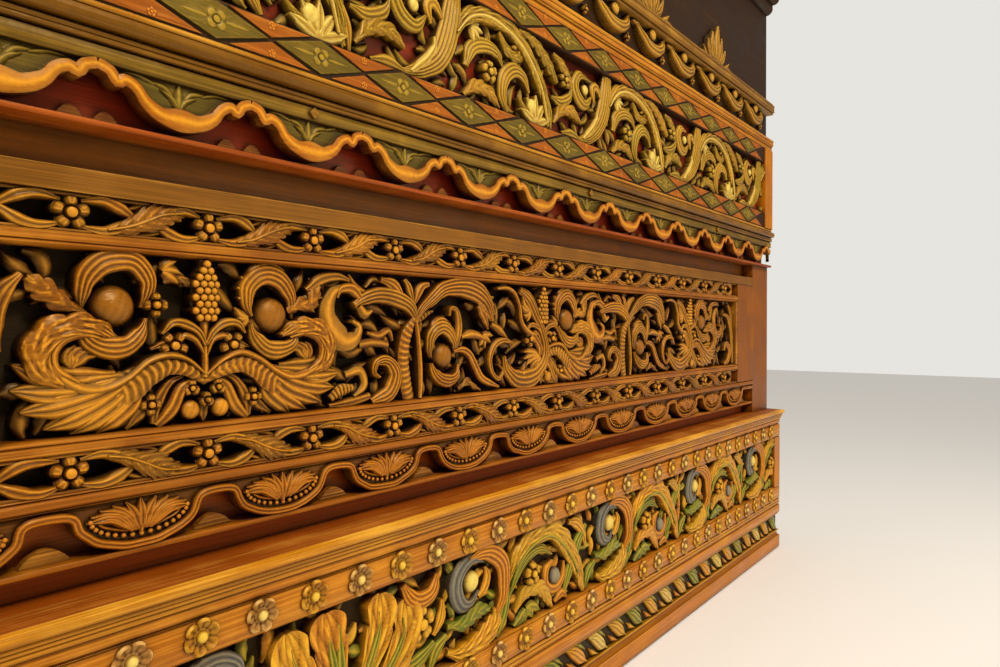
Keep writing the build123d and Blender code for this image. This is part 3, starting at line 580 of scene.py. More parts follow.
rosette_yellow = paint("rosette_yellow", (120, 50, 10), (620, 420, 50), (860, 680, 200), 0.35)
rosette_cream = paint("rosette_cream", (140, 70, 30), (660, 520, 270), (900, 800, 550), 0.35)
leaf_gold = paint("leaf_gold_paint", (14, 6, 2), (580, 270, 20), (880, 540, 90), 0.4, second=(440, 260, 30),
                  spots=0.4, spot=(70, 130, 25))
leaf_green = paint("leaf_green_paint", (12, 12, 4), (70, 180, 20), (600, 480, 80), 0.4, second=(120, 190, 40),
                   spots=0.4, spot=(360, 200, 30))
leaf_grey = paint("leaf_grey_paint", (14, 12, 10), (85, 105, 130), (320, 290, 200), 0.4, spots=0.45,
                  spot=(300, 170, 30), warmth=0.3)
leaf_cream = paint("leaf_cream_paint", (60, 30, 12), (600, 460, 200), (900, 800, 500), 0.36)
leaf_brown = paint("leaf_brown_paint", (14, 6, 2), (420, 160, 16), (760, 420, 70), 0.42)
dark_ground = board_paint("lower_ground_paint", (6, 4, 2), (24, 13, 6), (40, 22, 9), 0.6, wear=0.0)
# The ground's own red with painted shade: darkened for the shade in the recesses behind the upper field and
# the ribbon.
red_ground = board_paint("red_ground_paint", (30, 3, 1), (260, 20, 5), (400, 55, 10), wear=0.1)
olive_strip = paint("olive_strip", (15, 8, 2), (160, 108, 16), (320, 220, 40), 0.42, wear=0.6,
                    worn=(550, 380, 100), spots=0.5, spot=(90, 35, 8))
olive_flat = board_paint("olive_panel", (20, 14, 4), (115, 100, 16), (220, 180, 35), wear=0.4,
                         worn=(500, 380, 120), spots=0.4, spot=(240, 130, 20))
olive_carved = paint("olive_carving", (20, 12, 4), (150, 125, 22), (420, 330, 80), 0.42)
orange_flat = board_paint("orange_triangle", (100, 20, 6), (340, 106, 8), (480, 180, 16), 0.42, wear=0.4,
                          worn=(740, 420, 120))
orange_carved = paint("orange_carving", (80, 16, 5), (420, 130, 10), (660, 300, 35), 0.42)
dark_line = board_paint("dark_line", (8, 3, 1.5), (30, 10, 4), (50, 16, 6), 0.5, wear=0.0)
# depth gives the upper field's paints painted shade behind their face.
sage = paint("sage_carving", (16, 8, 3), (250, 185, 20), (660, 500, 130), 0.38, second=(330, 190, 32),
             depth=(upper_front + 8, upper_front + 26), spots=0.35, spot=(220, 100, 20))
sage_cream = paint("sage_cream_carving", (60, 26, 8), (500, 380, 140), (880, 780, 460), 0.38,
                   depth=(upper_front + 10, upper_front + 28))
gold = paint("gold_paint", (12, 6, 2), (270, 150, 30), (660, 440, 130), 0.34, wear=0.5)
gold_plain = board_paint("gold_rail_paint", (20, 10, 3), (250, 135, 24), (400, 240, 55), 0.36, wear=0.6,
                         worn=(600, 420, 140))
gold_band = paint("gold_band", (20, 10, 3), (260, 140, 26), (460, 280, 70), 0.36, wear=0.6,
                  worn=(620, 440, 160))
dark_brown = board_paint("dark_brown_paint", (6, 3, 1), (24, 9.5, 4), (45, 18, 6), 0.42, wear=0.35,
                         worn=(180, 90, 35))


# Middle field: a cone between ball bosses, ribbed stems, fronds and volutes. Places are millimetres
# from the field's lower edge and from each unit's own middle.


def cone_motif(c):
    """A scaled cone on a stem, with flowers and drooping leaves at both sides of it."""
    c.blade((0, 124, 1, 150, 0, 176, -3, 200), (8, 18, 15, 3), (7, 4, 4, 6), 9)
    for row in range(9):
        z = 129 + 8.2 * row
        reach = 15.5 * math.sin(math.pi * (0.22 + 0.76 * (row + 0.6) / 9.6)) ** 0.8
        for k in range(-2, 3):
            x = 8.6 * (k + 0.5 * (row % 2))
            if abs(x) < reach + 1:
                c.ball(x, z, 5.4, 6.5, 0, 4 + 6 * (x / 19) ** 2)
    c.blade((0, 56, 0, 84, 0, 128), (5, 4, 6), (4, 6, 5), 2, 1)
    for side in (-1, 1):
        c.at(*c.origin, side)
        c.blade((0, 96, 10, 112, 26, 122, 42, 122, 54, 110), (3, 5, 6, 5, 2), 3, 2, 2)
        c.blade((2, 84, 10, 100, 24, 108, 34, 104), (2, 4, 5, 3), 6, 2, 1)
        c.flower(38, 95, 18, 5, 8, 4, 12, turn=math.pi)
        c.flower(17, 43, 11, 3, 6, 3, 10)
        c.ball(19, 17, 12, 8, 3, 9)
        c.blade((12, 56, 28, 42, 40, 20, 58, 2), (3, 8, 9, 6), (8, 6, 8), 3, 2)
        c.blade((24, 60, 44, 50, 58, 24, 60, 4), (3, 6, 8, 5), 10, 3, 2)
        c.flower(66, 27, 13, 4, 7, 4, 11)
        c.fan((72, 20), (84, 4, 98, 4, 104, 18), 7, 12, 3)
    c.at(*c.origin)
    c.flower(0, 28, 10, 3, 6, 6, 6)
    c.leaf((0, 30), (-1, 2), 9, 9, 3, 2)


def ball_with_arcs(c):
    """A ball boss held between an upper and a lower arc."""
    c.ball(0, 0, 25, 19, 5, 19, 1)
    c.blade((-33, -4, -29, 26, -14, 46, 6, 54, 24, 50, 36, 34, 37, 14, 30, -2), (3, 9, 13, 14, 13, 12, 9, 3),
            (9, 3, 1, 0, 3, 8), 4, 4, tilt=3)
    c.blade((-18, 60, 4, 70, 26, 62, 40, 44), (2, 5, 6, 2), 7, 3, 1)
    c.blade((-36, -16, -30, -36, -12, -46, 12, -44, 28, -28, 34, -12), (3, 10, 13, 11, 3), (6, 1, 0, 2, 7), 4,
            4, tilt=-3)


def right_frond(c):
    """A comb-cut stem that breaks into long lobes, with a smooth tip curling back over them."""
    c.blade((-2, 50, 22, 66, 46, 71, 68, 64, 90, 50, 108, 40), (5, 9, 11, 14, 18, 18), (5, 2, 1, 1, 2), 3,
            veins=13, slant=0.3, vein=1.7, sweep=0.2, tilt=3)
    c.blade((0, 60, 22, 78, 46, 84, 70, 77, 94, 60, 118, 50, 142, 52, 162, 66, 172, 86),
            (2, 3, 4, 4, 4, 5, 6, 6, 3), (3, 0, 0, 0, 1), 2, 1)
    lobes = (
        ((78, 50, 96, 28, 114, 12, 124, -1), 4), ((84, 54, 110, 30, 134, 14, 150, 2), 3),
        ((90, 56, 122, 34, 150, 22, 176, 10), 2), ((94, 58, 132, 42, 164, 34, 197, 30), 1),
        ((98, 60, 138, 50, 172, 48, 207, 52), 2), ((104, 62, 142, 60, 174, 66, 203, 80), 4),
    )
    for path, sink in lobes:
        c.blade(path, (8, 15, 14, 6), (sink + 1, sink, sink, sink + 6), 4, 3, groove=1.8, tilt=2,
                round_tip=0.16)
    c.blade((150, 52, 174, 66, 181, 88, 171, 108, 150, 119, 124, 117, 106, 106), (7, 12, 15, 15, 13, 9, 3),
            (5, 1, 0, 0, 1, 4), 3, 3, groove=1.8, lobes=6, cut=0.24, side=-1, slant=1.6, vein=1.4, sweep=0.9,
            tilt=-3)
    c.blade((146, 58, 166, 72, 170, 90, 160, 104, 140, 109, 118, 104), (2, 4, 5, 5, 4, 2), -1, 2, 1)
    c.fan((150, 74), (118, 88, 132, 96, 146, 98), 9, 7, 3, 2, -0.2)
    c.blade((28, 82, 44, 96, 64, 92), (3, 7, 2), 10, 2, 2)
    c.blade((60, 30, 78, 16, 92, 2), (3, 9, 3), 11, 3, 2)


def right_ball(c, x, z):
    """The ball at a cone's right, and the leaves round it."""
    c.at(x + 95, z + 133, -1)
    ball_with_arcs(c)
    c.at(x, z)
    c.fan((70, 168), (44, 168, 50, 184, 46, 154), 9, 9, 3, 1, 0.1)
    c.fan((60, 130), (42, 142, 46, 128, 50, 116), 8, 10, 3, 1, 0.1)
    c.blade((117, 139, 138, 148, 154, 150, 170, 176), (6, 11, 12, 4), 6, 3, lobes=4, veins=5, slant=0.8)
    c.fan((140, 146), (180, 160, 176, 148, 164, 138), 8, 9, 3, 1, 0.1)
    c.blade((150, 168, 176, 186, 204, 192, 226, 186), (4, 9, 8, 4), 8, 3, 2)
    c.blade((112, 106, 128, 116, 150, 118), (4, 7, 3), 9, 3, 1)


def left_parts(c, x, z):
    """The ball and the mirrored frond at the first cone's left."""
    c.at(x - 106, z + 140)
    ball_with_arcs(c)
    c.flower(46, 3, 15, 4, 9, 5, 12)
    c.at(x, z)
    c.fan((-52, 184), (-36, 196, -30, 182, -34, 168), 8, 8, 3, 1, 0.1)
    c.blade((-50, 170, -32, 176, -14, 168), (3, 7, 3), 10, 3, lobes=3, veins=3, slant=0.8)
    c.blade((-134, 132, -155, 140, -172, 155, -190, 168), (4, 12, 14, 5), 7, 4, lobes=4, veins=5, slant=0.9)
    c.at(x, z, -1)
    right_frond(c)
    c.at(x, z)
    c.blade((-196, 172, -214, 150, -222, 120, -216, 92), (4, 11, 12, 5), 8, 3, 3)


def stem_motif(c, x, z):
    """A comb-cut stem that parts into scrolls at the left and a long arm at the right."""
    c.at(x, z)
    c.blade((-11, 0, -21, 30, -24, 66, -20, 100, -4, 134), (12, 12, 12, 11, 5), (6, 4, 3, 2), 4, veins=15,
            slant=0.15, vein=1.8, sweep=0)
    c.blade((10, 2, 11, 50, 6, 100, -2, 138), (4, 5, 5, 4), 3, 2, 1)
    c.blade((4, 126, -14, 150, -44, 164, -78, 166, -107, 160, -126, 149), (5, 12, 14, 13, 11, 6),
            (2, 0, 1, 3, 5), 4, 4, groove=1.6)
    c.blade((-110, 156, -128, 174, -150, 174, -156, 160), (5, 9, 7, 2), 5, 3, 2)
    c.blade((-116, 150, -104, 138, -92, 142), (6, 9, 4), 4, 4, 1)
    c.blade((-26, 160, -48, 184, -72, 192), (5, 12, 5), 4, 3, 3)
    c.blade((-6, 158, -14, 182, -24, 194), (4, 8, 4), 5, 3, 2)
    c.blade((-2, 156, 14, 182, 32, 190), (4, 9, 5), 5, 3, 2)
    c.blade((-134, 196, -118, 176, -94, 168), (3, 7, 4), 9, 3, 1)
    c.blade((-100, 178, -84, 192, -66, 184), (3, 6, 3), 11, 3, 1)
    c.blade((0, 124, 16, 148, 38, 166, 64, 182, 97, 189, 131, 188, 164, 178, 188, 158, 200, 130),
            (5, 8, 12, 14, 17, 20, 20, 15, 6), (2, 0, 0, 1, 4), 5, 5, groove=1.8)
    c.fan((158, 158), (206, 174, 212, 158, 214, 141, 206, 125, 190, 114), 10, (3, 6, 8), 3, 2, 0.06)
    c.blade((196, 124, 222, 114, 246, 94), (5, 8, 2), 4, 4, 1)
    c.blade((6, 122, 24, 138, 44, 144), (3, 7, 3), 9, 3, veins=6, vein=1.5, sweep=0)
    c.blade((-150, 174, -166, 166, -176, 144, -170, 118, -146, 98, -124, 102, -117, 118, -128, 127),
            (6, 9, 13, 18, 19, 13, 7, 3), (6, 3, 2, 2, 5), 2, 1, groove=0.7)
    c.blade((-112, 92, -84, 94, -54, 90), (6, 7, 6), 11, 2, 1)
    c.blade((-96, 108, -72, 104, -52, 112, -44, 96), (3, 7, 6, 3), 12, 2, 1)
    c.blade((-92, 2, -58, 14, -43, 42, -60, 65, -82, 64, -88, 48, -74, 40), (7, 13, 15, 13, 9, 6, 3),
            (5, 2, 1, 2, 5), 5, 4, groove=1.5)
    c.blade((-170, 14, -150, 24, -126, 28), (6, 9, 5), 7, 3, veins=7, vein=1.8, sweep=0)
    c.blade((-170, 2, -130, 4, -92, 10), (4, 8, 6), 9, 3, 2)
    c.blade((-140, 46, -112, 52, -104, 30, -122, 12), (5, 7, 7, 3), 9, 2, 1)
    c.blade((-50, 84, -34, 72, -26, 84), (3, 6, 3), 12, 3)
    c.at(x + 70, z + 68, -1, 0.92)
    ball_with_arcs(c)
    c.at(x, z)
    c.blade((96, 66, 103, 95, 105, 125, 98, 147, 84, 150, 80, 137), (4, 6, 9, 8, 5, 2), (8, 3, 2), 4, 2)
    c.blade((92, 76, 116, 78, 136, 70, 152, 46, 172, 24, 216, 6), (3, 7, 8, 8, 7, 3), 4, 3, 2)
    c.blade((116, 100, 138, 106, 164, 102, 184, 92), (4, 8, 7, 2), 7, 3, 1)
    c.fan((176, 104), (166, 84, 182, 80, 198, 88, 206, 100), 8, 9, 3, 1, 0.1)
    c.blade((108, 8, 132, 20, 150, 12, 170, 2), (4, 8, 6, 3), 9, 3, lobes=3, veins=4, slant=0.6)
    c.blade((262, 88, 232, 94, 204, 84, 190, 60, 196, 34, 216, 22, 232, 34, 220, 48),
            (3, 6, 7, 7, 6, 5, 4, 2), (6, 3, 3, 7), 3, 2)


def volute(c, x, z):
    """Large rolled leaf that closes the span before the next cone."""
    c.at(x, z)
    c.blade((212, 190, 244, 192, 266, 184, 280, 160, 288, 126, 312, 108, 338, 104), (3, 4, 4, 4, 5, 6, 3), 3,
            2, 1)
    c.blade((286, 192, 314, 176, 339, 143, 360, 108, 369, 74, 360, 45, 336, 24, 302, 14, 270, 20, 246, 40,
            240, 62), (8, 14, 14, 11, 10, 12, 17, 21, 20, 14, 5), (5, 3, 1, 0, 1, 3, 7), 5, 4, groove=1.7)
    c.fan((318, 150), (292, 178, 288, 160, 294, 142, 306, 130), 9, 5, 3, 1, 0.15)
    c.fan((350, 56), (300, 70, 300, 56, 306, 43, 320, 34, 336, 32), 9, (3, 5, 7), 3, 1, -0.12)
    c.blade((312, 108, 332, 98, 350, 76, 346, 54), (4, 9, 10, 5), 4, 4, 2)
    c.blade((354, 14, 384, 10, 412, 2), (5, 10, 4), 9, 3, 2)
    c.blade((378, 66, 400, 40, 428, 18, 470, 4), (4, 6, 7, 5), 7, 3, 1)
    c.blade((374, 116, 398, 128, 420, 126), (3, 7, 4), 10, 3, 1)


def cone_unit(c, x, z):
    """A cone with the frond and the ball boss at its right."""
    c.at(x, z)
    cone_motif(c)
    right_frond(c)
    right_ball(c, x, z)


def stem_unit(c, x, z):
    """A stem with the volute at its right."""
    stem_motif(c, x, z)
    volute(c, x, z)


def middle_field():
    low, high = box("middle_carved_field")
    margin, period, cone, stem, paints = 17, 718, -823, -464, [golden, ball_brown]
    foot, top, start, stop = low[2] + margin, high[2] - margin, low[0] + margin, high[0] - margin
    # The piece left of the seam lies nearest to the camera and is made finer.
    seam = -240
    near = Carving("middle_field_near", middle_front + 1, plank_front - 1, fine=1.15)
    near.undergrowth(start, seam, foot, top, 34, 15)
    cone_unit(near, cone, foot)
    left_parts(near, cone, foot)
    stem_unit(near, stem, foot)
    near.finish(paints, "middle_carved_field")
    far = Carving("middle_field_far", middle_front + 1, plank_front - 1, fine=1.7)
    far.undergrowth(seam, stop, foot, top, 36, 15)
    cone_unit(far, cone + period, foot)
    stem_unit(far, stem + period, foot)
    cone_unit(far, cone + 2 * period, foot)
    far.at(stem + 2 * period, foot)
    for path, width in (
        ((-150, 174, -166, 166, -176, 144, -170, 118, -146, 98, -124, 102, -117, 118, -128, 127), 12),
        ((-92, 2, -58, 14, -43, 42, -60, 65, -82, 64, -88, 48), 11),
        ((-20, 4, -28, 60, -34, 110, -60, 150, -100, 160), 10),
        ((-60, 190, -40, 160, -36, 120), 8),
    ):
        far.blade(path, (width * 0.5, width, width, width * 0.4), 4, 3, 3)
    far.finish(paints, "middle_carved_field")
    rails = Carving("middle_field_margins", middle_front, plank_front)
    for z0, z1, way in ((low[2], foot, 1), (high[2], top, -1)):
        steps = ((0, 2), (1.5, 0), (10, 0), (11, 2), (12, 1), (14, 1), (16, 3))
        profile = [(z0 + way * z, middle_front + y) for z, y in steps] + [(z1, middle_front + 6)]
        rails.strip(low[0], high[0], profile[::way], plank_front)
    for left, right in ((low[0], start), (stop, high[0])):
        rails.plate((left, foot, right, foot, right, top, left, top), middle_front + 0.5, plank_front)
    rails.finish([red_strip], "middle_carved_field")


middle_field()


def border(level, first, lean):
    """Flowers between almond openings, with a lobed leaf slanting between."""
    node = level + "_border"
    low, high = box(node)
    c = Carving(node + "_carving", middle_front + 1, plank_front - 6, jitter=0.6, fine=1.3)
    for x in spaced(first, 154, low[0] - 34, high[0]):
        c.at(x, (low[2] + high[2]) / 2)
        if low[0] + 20 < x < high[0] - 20:
            c.flower(0, 0, 19.5, 5, 8, 4, 7)
            for side in (-1, 1):
                reach = min(66, abs((high[0] if side > 0 else low[0]) - x) - 6)
                for up in (1, -1):
                    rim = (side * 10, up * 13, side * 30, up * 17, side * 48, up * 13, side * reach, up * 2)
                    c.blade(rim, (3, 6, 7.5, 5), (4, 1, 1, 4), 3, 2)
        if x + 116 < high[0] - 6:
            c.blade((28, -lean * 14, 50, -lean * 11, 77, 0, 104, lean * 11, 126, lean * 14),
                    (4, 11, 18, 11, 4), (5, 0, -1, 0, 5), 5, lobes=7, cut=0.18, slant=1.2, vein=2.4,
                    sweep=1.0)
            c.blade((36, -lean * 14, 58, -lean * 9, 77, 0, 96, lean * 9, 118, lean * 14),
                    (1.5, 2.6, 3, 2.6, 1.5), -1.5, 1, 1)
            c.blade((56, -lean * 19, 80, -lean * 17, 102, -lean * 8), (2, 5, 2), 6, 2, 1)
            c.blade((98, lean * 19, 74, lean * 17, 52, lean * 8), (2, 5, 2), 6, 2, 1)
    for foot in (low[2], high[2] - 3.5):
        c.rail(low[0], high[0], foot, foot + 3.5, middle_front + 3, plank_front, 1)
    c.finish([golden], node)


border("lower", -52, -1)
border("upper", -50, 1)


# From one lobe of the valance to the next, and from one fold of the ribbon to the next.
LOBE_PITCH, RIBBON_PITCH = 186, 181


def arc(count, start=math.pi, sweep=math.pi):
    """Angles from start through sweep in this many steps."""
    return [start + sweep * k / count for k in range(count + 1)]


def valance():
    """Lobes with a beaded rim and a fan of leaves, with small arches between."""
    low, high = box("carved_valance")
    half, top, deep = 66, high[2], high[2] - 20 - low[2]
    middle = top - 16
    xs = spaced(-0.86 * LOBE_PITCH, LOBE_PITCH, low[0], high[0] - half + 6)
    left = min(low[0], xs[0] - half - 20)
    outline, path = [(left, top), (left, top - 8)], [(left, top - 8)]
    for x in xs:
        lobe = [(x + half * math.cos(a), middle + deep * math.sin(a)) for a in arc(12)]
        outline += [(x - half - 14, top - 7), *lobe, (x + half + 14, top - 7)]
        path += [(x - half - 15, top - 7), (x - half - 3, top - 12), *lobe[1:12],
                 (x + half + 3, top - 12), (x + half + 15, top - 7)]
    c = Carving("valance_carving", middle_front - 2, middle_front + 18, jitter=0.4, fine=1.25)
    c.plate(outline + [(high[0], top - 8), (high[0], top)], middle_front + 6, middle_front + 19)
    c.blade(path + [(high[0], top - 8)], 5.2, 0.5, 2.5, 2)
    back = middle_front + 12
    for x in xs:
        c.at(x, middle)
        for k in range(17):
            turn = math.pi + math.pi * (k + 0.5) / 17
            bead = (half - 12) * math.cos(turn), (deep - 11) * math.sin(turn)
            c.ball(*bead, 3.1, 3, 0, 3.5, 0, middle_front + 10)
        rim = [((half - 19) * math.cos(a), (deep - 17) * math.sin(a))
               for a in arc(8, math.pi * 1.04, math.pi * 0.92)]
        c.blade(rim, 2.2, 3, 1, 1, back=back)
        for k in range(11):
            turn = math.radians(8 + 16.4 * k)
            tip = 58 * math.cos(turn), -6 + 21 * math.sin(turn)
            c.leaf((9 * math.cos(turn), 8 - deep * 0.72), tip, 7.5, (0, -1, 3), 3, 2, 0.16 * math.cos(turn),
                   groove=1.6, back=back)
        c.leaf((0, 12 - deep), (0, 10), 5, 1, 2, 1, back=back)
    clip_sideways(c.finish([strip_gold], "carved_valance"), low[0], high[0])


def bumps(node, centres, width, height, material):
    """The strip under a valance, with bell-shaped bumps."""
    low, high = box(node)
    top = low[2] + 7
    c = Carving(node + "_strip", low[1], high[1], jitter=0)
    c.rail(low[0], high[0], low[2], top, low[1], high[1], 2)
    for x in centres:
        c.plate([(x - width / 2 + width * k / 12, top + height * math.sin(math.pi * (k / 12)) ** 0.8)
                 for k in range(13)], 0, 10)
    c.finish([material], node)


valance()
low, high = box("valance_bead")
bumps("valance_bead", spaced(-0.36 * LOBE_PITCH, LOBE_PITCH, low[0] + 46, high[0] - 46), 50, 16, red_strip)


def rosettes(level):
    """A row of rosettes, yellow and pale by turns."""
    low, high = box(level + "_rosettes")
    c = Carving(level + "_rosette_row", lower_front, lower_front, jitter=0)
    pitch = 78
    for k, x in enumerate(np.arange(-15 * pitch, high[0] - 1, pitch)):
        c.at(x, (low[2] + high[2]) / 2)
        c.rosette(22, 6, 6.5, 0.2, 3 * (k % 2), rng.uniform(0, 1), lower_front + 0.5)
        c.ball(0, 0, 7.5, 6.5, 0, -1.5, 1 + k % 2, lower_front)
    c.finish([rosette_ochre, rosette_yellow, rosette_cream, rosette_pale], level + "_rosettes")


rosettes("lower")
rosettes("upper")


# Bottom field: spirals round pale bosses, arching leaves, palmettes and flowers in several paints.

GOLD, GREEN, GREY, CREAM, BROWN = range(5)


def lower_unit(c, x, z):
    c.at(x, z)
    c.ball(0, 120, 19, 13, 2, 14, CREAM)
    c.blade((22, 98, 4, 84, -20, 86, -37, 104, -39, 130, -24, 152, 4, 160, 30, 148),
            (3, 9, 14, 15, 14, 13, 11, 3), (10, 4, 2, 1, 2, 4), 5, 3, GREY, tilt=3)
    c.blade((-8, 160, 20, 166, 50, 158, 74, 136, 84, 104, 80, 70, 62, 44), (5, 13, 17, 17, 15, 11, 4),
            (4, 1, 0, 1, 4), 4, 4, BROWN, tilt=-3)
    c.blade((22, 88, 38, 98, 46, 118, 38, 136), (5, 11, 10, 3), 10, 3, 2, GOLD)
    c.blade((-64, 22, -40, 10, -8, 8, 26, 16, 56, 34, 70, 58), (5, 17, 24, 25, 20, 9), (5, 2, 1, 2, 6), 5, 4,
            GOLD, groove=1.6, lobes=6, cut=0.25, slant=1.6, vein=1.8, sweep=0.8, round_tip=0.2)
    c.blade((-62, 62, -24, 58, 14, 66, 46, 60), (5, 14, 15, 6), (6, 3, 4), 4, 0, GREEN, lobes=5, cut=0.25,
            slant=0.9, vein=1.8)
    c.blade((-104, 8, -84, 36, -62, 50), (5, 13, 6), 6, 4, 3, GREEN)
    c.blade((66, 4, 80, 30, 92, 58, 98, 88), (9, 15, 14, 4), (6, 4, 5), 4, 3, GREEN)
    c.blade((92, 70, 108, 108, 140, 142, 182, 158, 226, 158, 266, 138, 304, 98, 336, 52, 356, 6),
            (8, 14, 19, 22, 24, 23, 20, 15, 8), (4, 1, 0, 0, 1, 4), 5, 4, GOLD, groove=1.6, lobes=9, cut=0.26,
            side=1, slant=1.8, vein=1.8, sweep=1.0, tilt=3)
    c.blade((100, 84, 118, 112, 146, 136, 184, 148, 226, 148, 262, 128, 296, 92, 326, 48),
            (2, 4, 5, 5, 5, 4, 2), -1, 2, 1, GREEN)
    c.blade((104, 62, 128, 98, 164, 122, 204, 126, 240, 108), (5, 12, 14, 11, 3), 7, 4, 4, GREEN)
    c.flower(172, 88, 23, 5, 10, 6, 9, GOLD)
    c.ball(250, 62, 17, 12, 2, 12, GREY)
    c.blade((284, 84, 282, 54, 262, 36, 236, 38, 220, 56, 224, 82, 244, 94), (4, 10, 12, 12, 10, 8, 3), 6, 4,
            2, BROWN, tilt=2)
    c.blade((120, 28, 148, 54, 188, 58, 216, 38, 238, 6), (5, 14, 16, 13, 6), (6, 3, 5), 4, 0, GOLD, lobes=6,
            cut=0.22, slant=0.9, vein=1.8)
    c.fan((156, 24), (118, 4, 140, 2, 178, 2, 200, 10), 13, 8, 4, 2, 0.1, GREEN)
    c.blade((286, 20, 306, 60, 330, 104, 366, 138), (7, 16, 16, 6), (7, 4, 6), 4, 4, GREEN)
    c.blade((300, 158, 332, 150, 356, 124, 364, 96), (6, 13, 12, 4), 6, 4, 3, GOLD)
    c.blade((252, 8, 278, 18, 296, 6), (5, 12, 5), 8, 4, 2, BROWN)


def palmette(c, x, z):
    """Broad round-tipped leaves from one root, with a flower and a hooked leaf at the right."""
    c.at(x, z)
    rows = (
        ((-168, 128), 25, 0.12, GOLD, 4), ((-36, 162), 26, 0.03, BROWN, 4), ((62, 160), 24, -0.10, GOLD, 5),
        ((112, 138), 27, -0.18, GOLD, 2), ((-100, 158), 25, 0.10, GOLD, 2), ((-134, 62), 18, 0.16, BROWN, 6),
        ((110, 76), 17, -0.16, BROWN, 5),
    )
    for tip, width, bow, paint, sink in rows:
        root = np.array([0.0, 14.0])
        run = np.array(tip) - root
        aside = bow * np.array([-run[1], run[0]])
        middle = [root, root + run * 0.35 + aside, root + run * 0.72 + aside, tip]
        c.blade(middle, (6, width * 0.75, width * 1.22, width * 1.05), (sink + 3, sink + 1, sink, sink + 3),
                -3, 5, paint, groove=2.0, lobes=3, cut=0.24, slant=0.9, vein=1.0, sweep=0.7, round_tip=0.3,
                tilt=3)
        c.blade(middle[:3] + [root + run * 0.86 + aside * 0.4], (4, 7, 7, 1.5),
                (sink, sink - 1, sink - 1, sink + 1), 2, 2, GREEN)
        c.blade([root + aside * 0.2, root + run * 0.25 + aside * 1.5, root + run * 0.55 + aside * 1.9],
                (3, width * 0.32, 2), (sink, sink - 3, sink), 3, 2, GREEN)
    c.blade((-2, 20, -12, 80, -14, 144), (4, 9, 4), (3, 1, 3), 3, 2, GREEN)
    c.flower(144, 90, 30, 5, 11, 7, 10, GOLD)
    c.blade((108, 160, 122, 136, 144, 127, 170, 134, 184, 158), (6, 13, 15, 13, 6), (5, 1, 1, 5), 4, 4, BROWN)
    c.blade((96, 38, 136, 28, 178, 48), (6, 15, 6), 7, 4, 4, GREEN)
    c.blade((176, 60, 192, 84, 196, 112), (5, 11, 4), 7, 3, 3, GOLD)


def ground(node, name, plane, near, far, material):
    """The board behind a carved field, between two depths behind its plane."""
    low, high = box(node)
    c = Carving(name, plane, plane, jitter=0)
    c.rail(low[0], high[0], low[2], high[2], plane + near, plane + far, 0.5)
    c.finish([material], node)


def lower_field():
    low, high = box("lower_carved_field")
    c = Carving("lower_field_carving", lower_front + 2, lower_front + 38, fine=1.35)
    c.undergrowth(low[0], high[0], low[2], high[2], 34, 14, (GOLD, GREEN, BROWN, GOLD), 0.1, 10)
    for draw, x in ((palmette, -640), (lower_unit, -372), (palmette, -1102), (lower_unit, 93),
                    (lower_unit, 558), (lower_unit, 1023)):
        draw(c, x, low[2])
    c.at(-837, low[2])
    c.ball(0, 118, 20, 14, 2, 16, CREAM)
    c.blade((24, 96, 6, 82, -20, 84, -38, 104, -40, 132, -22, 154, 6, 160, 30, 144, 36, 120),
            (5, 9, 12, 13, 12, 12, 11, 9, 5), (8, 3, 2, 2, 4), 5, 3, GREY)
    piece = c.finish([leaf_gold, leaf_green, leaf_grey, leaf_cream, leaf_brown], "lower_carved_field")
    ground("lower_carved_field", "lower_field_ground", lower_front, 26, 40, dark_ground)
    clip_sideways(piece, low[0], high[0])


lower_field()


def leaf_strip():
    """Slanting leaves in several paints along the foot."""
    low, high = box("leaf_strip")
    tall, pitch = high[2] - low[2], 84
    c = Carving("leaf_strip_carving", lower_front + 2, lower_front + 30, jitter=0.5)
    for k, x in enumerate(np.arange(-14.5 * pitch, high[0] - 30, pitch)):
        c.at(x, low[2])
        c.blade((-40, tall - 6, -14, tall - 18, 12, 26, 38, 8), (4, 14, 15, 4), (4, 1, 2, 5), 6, 3,
                (0, 1, 0, 3)[k % 4])
        c.blade((-10, tall - 4, 12, tall - 14, 34, tall - 30), (2, 7, 3), 8, 3, 1, 1)
        c.blade((-36, tall - 34, -18, 16, 4, 6), (2, 7, 3), 8, 3, 1, (2, 0)[k % 2])
    for z0, z1, near, far, nose, shade in (
        (low[2], low[2] + 5, 4, 30, 2, 0),
        (high[2] - 5, high[2], 4, 30, 2, 0),
        (low[2], high[2], 14, 40, 0.5, 4),
    ):
        c.rail(low[0], high[0], z0, z1, lower_front + near, lower_front + far, nose, shade)
    c.finish([leaf_gold, leaf_green, leaf_brown, leaf_cream, dark_ground], "leaf_strip")


leaf_strip()


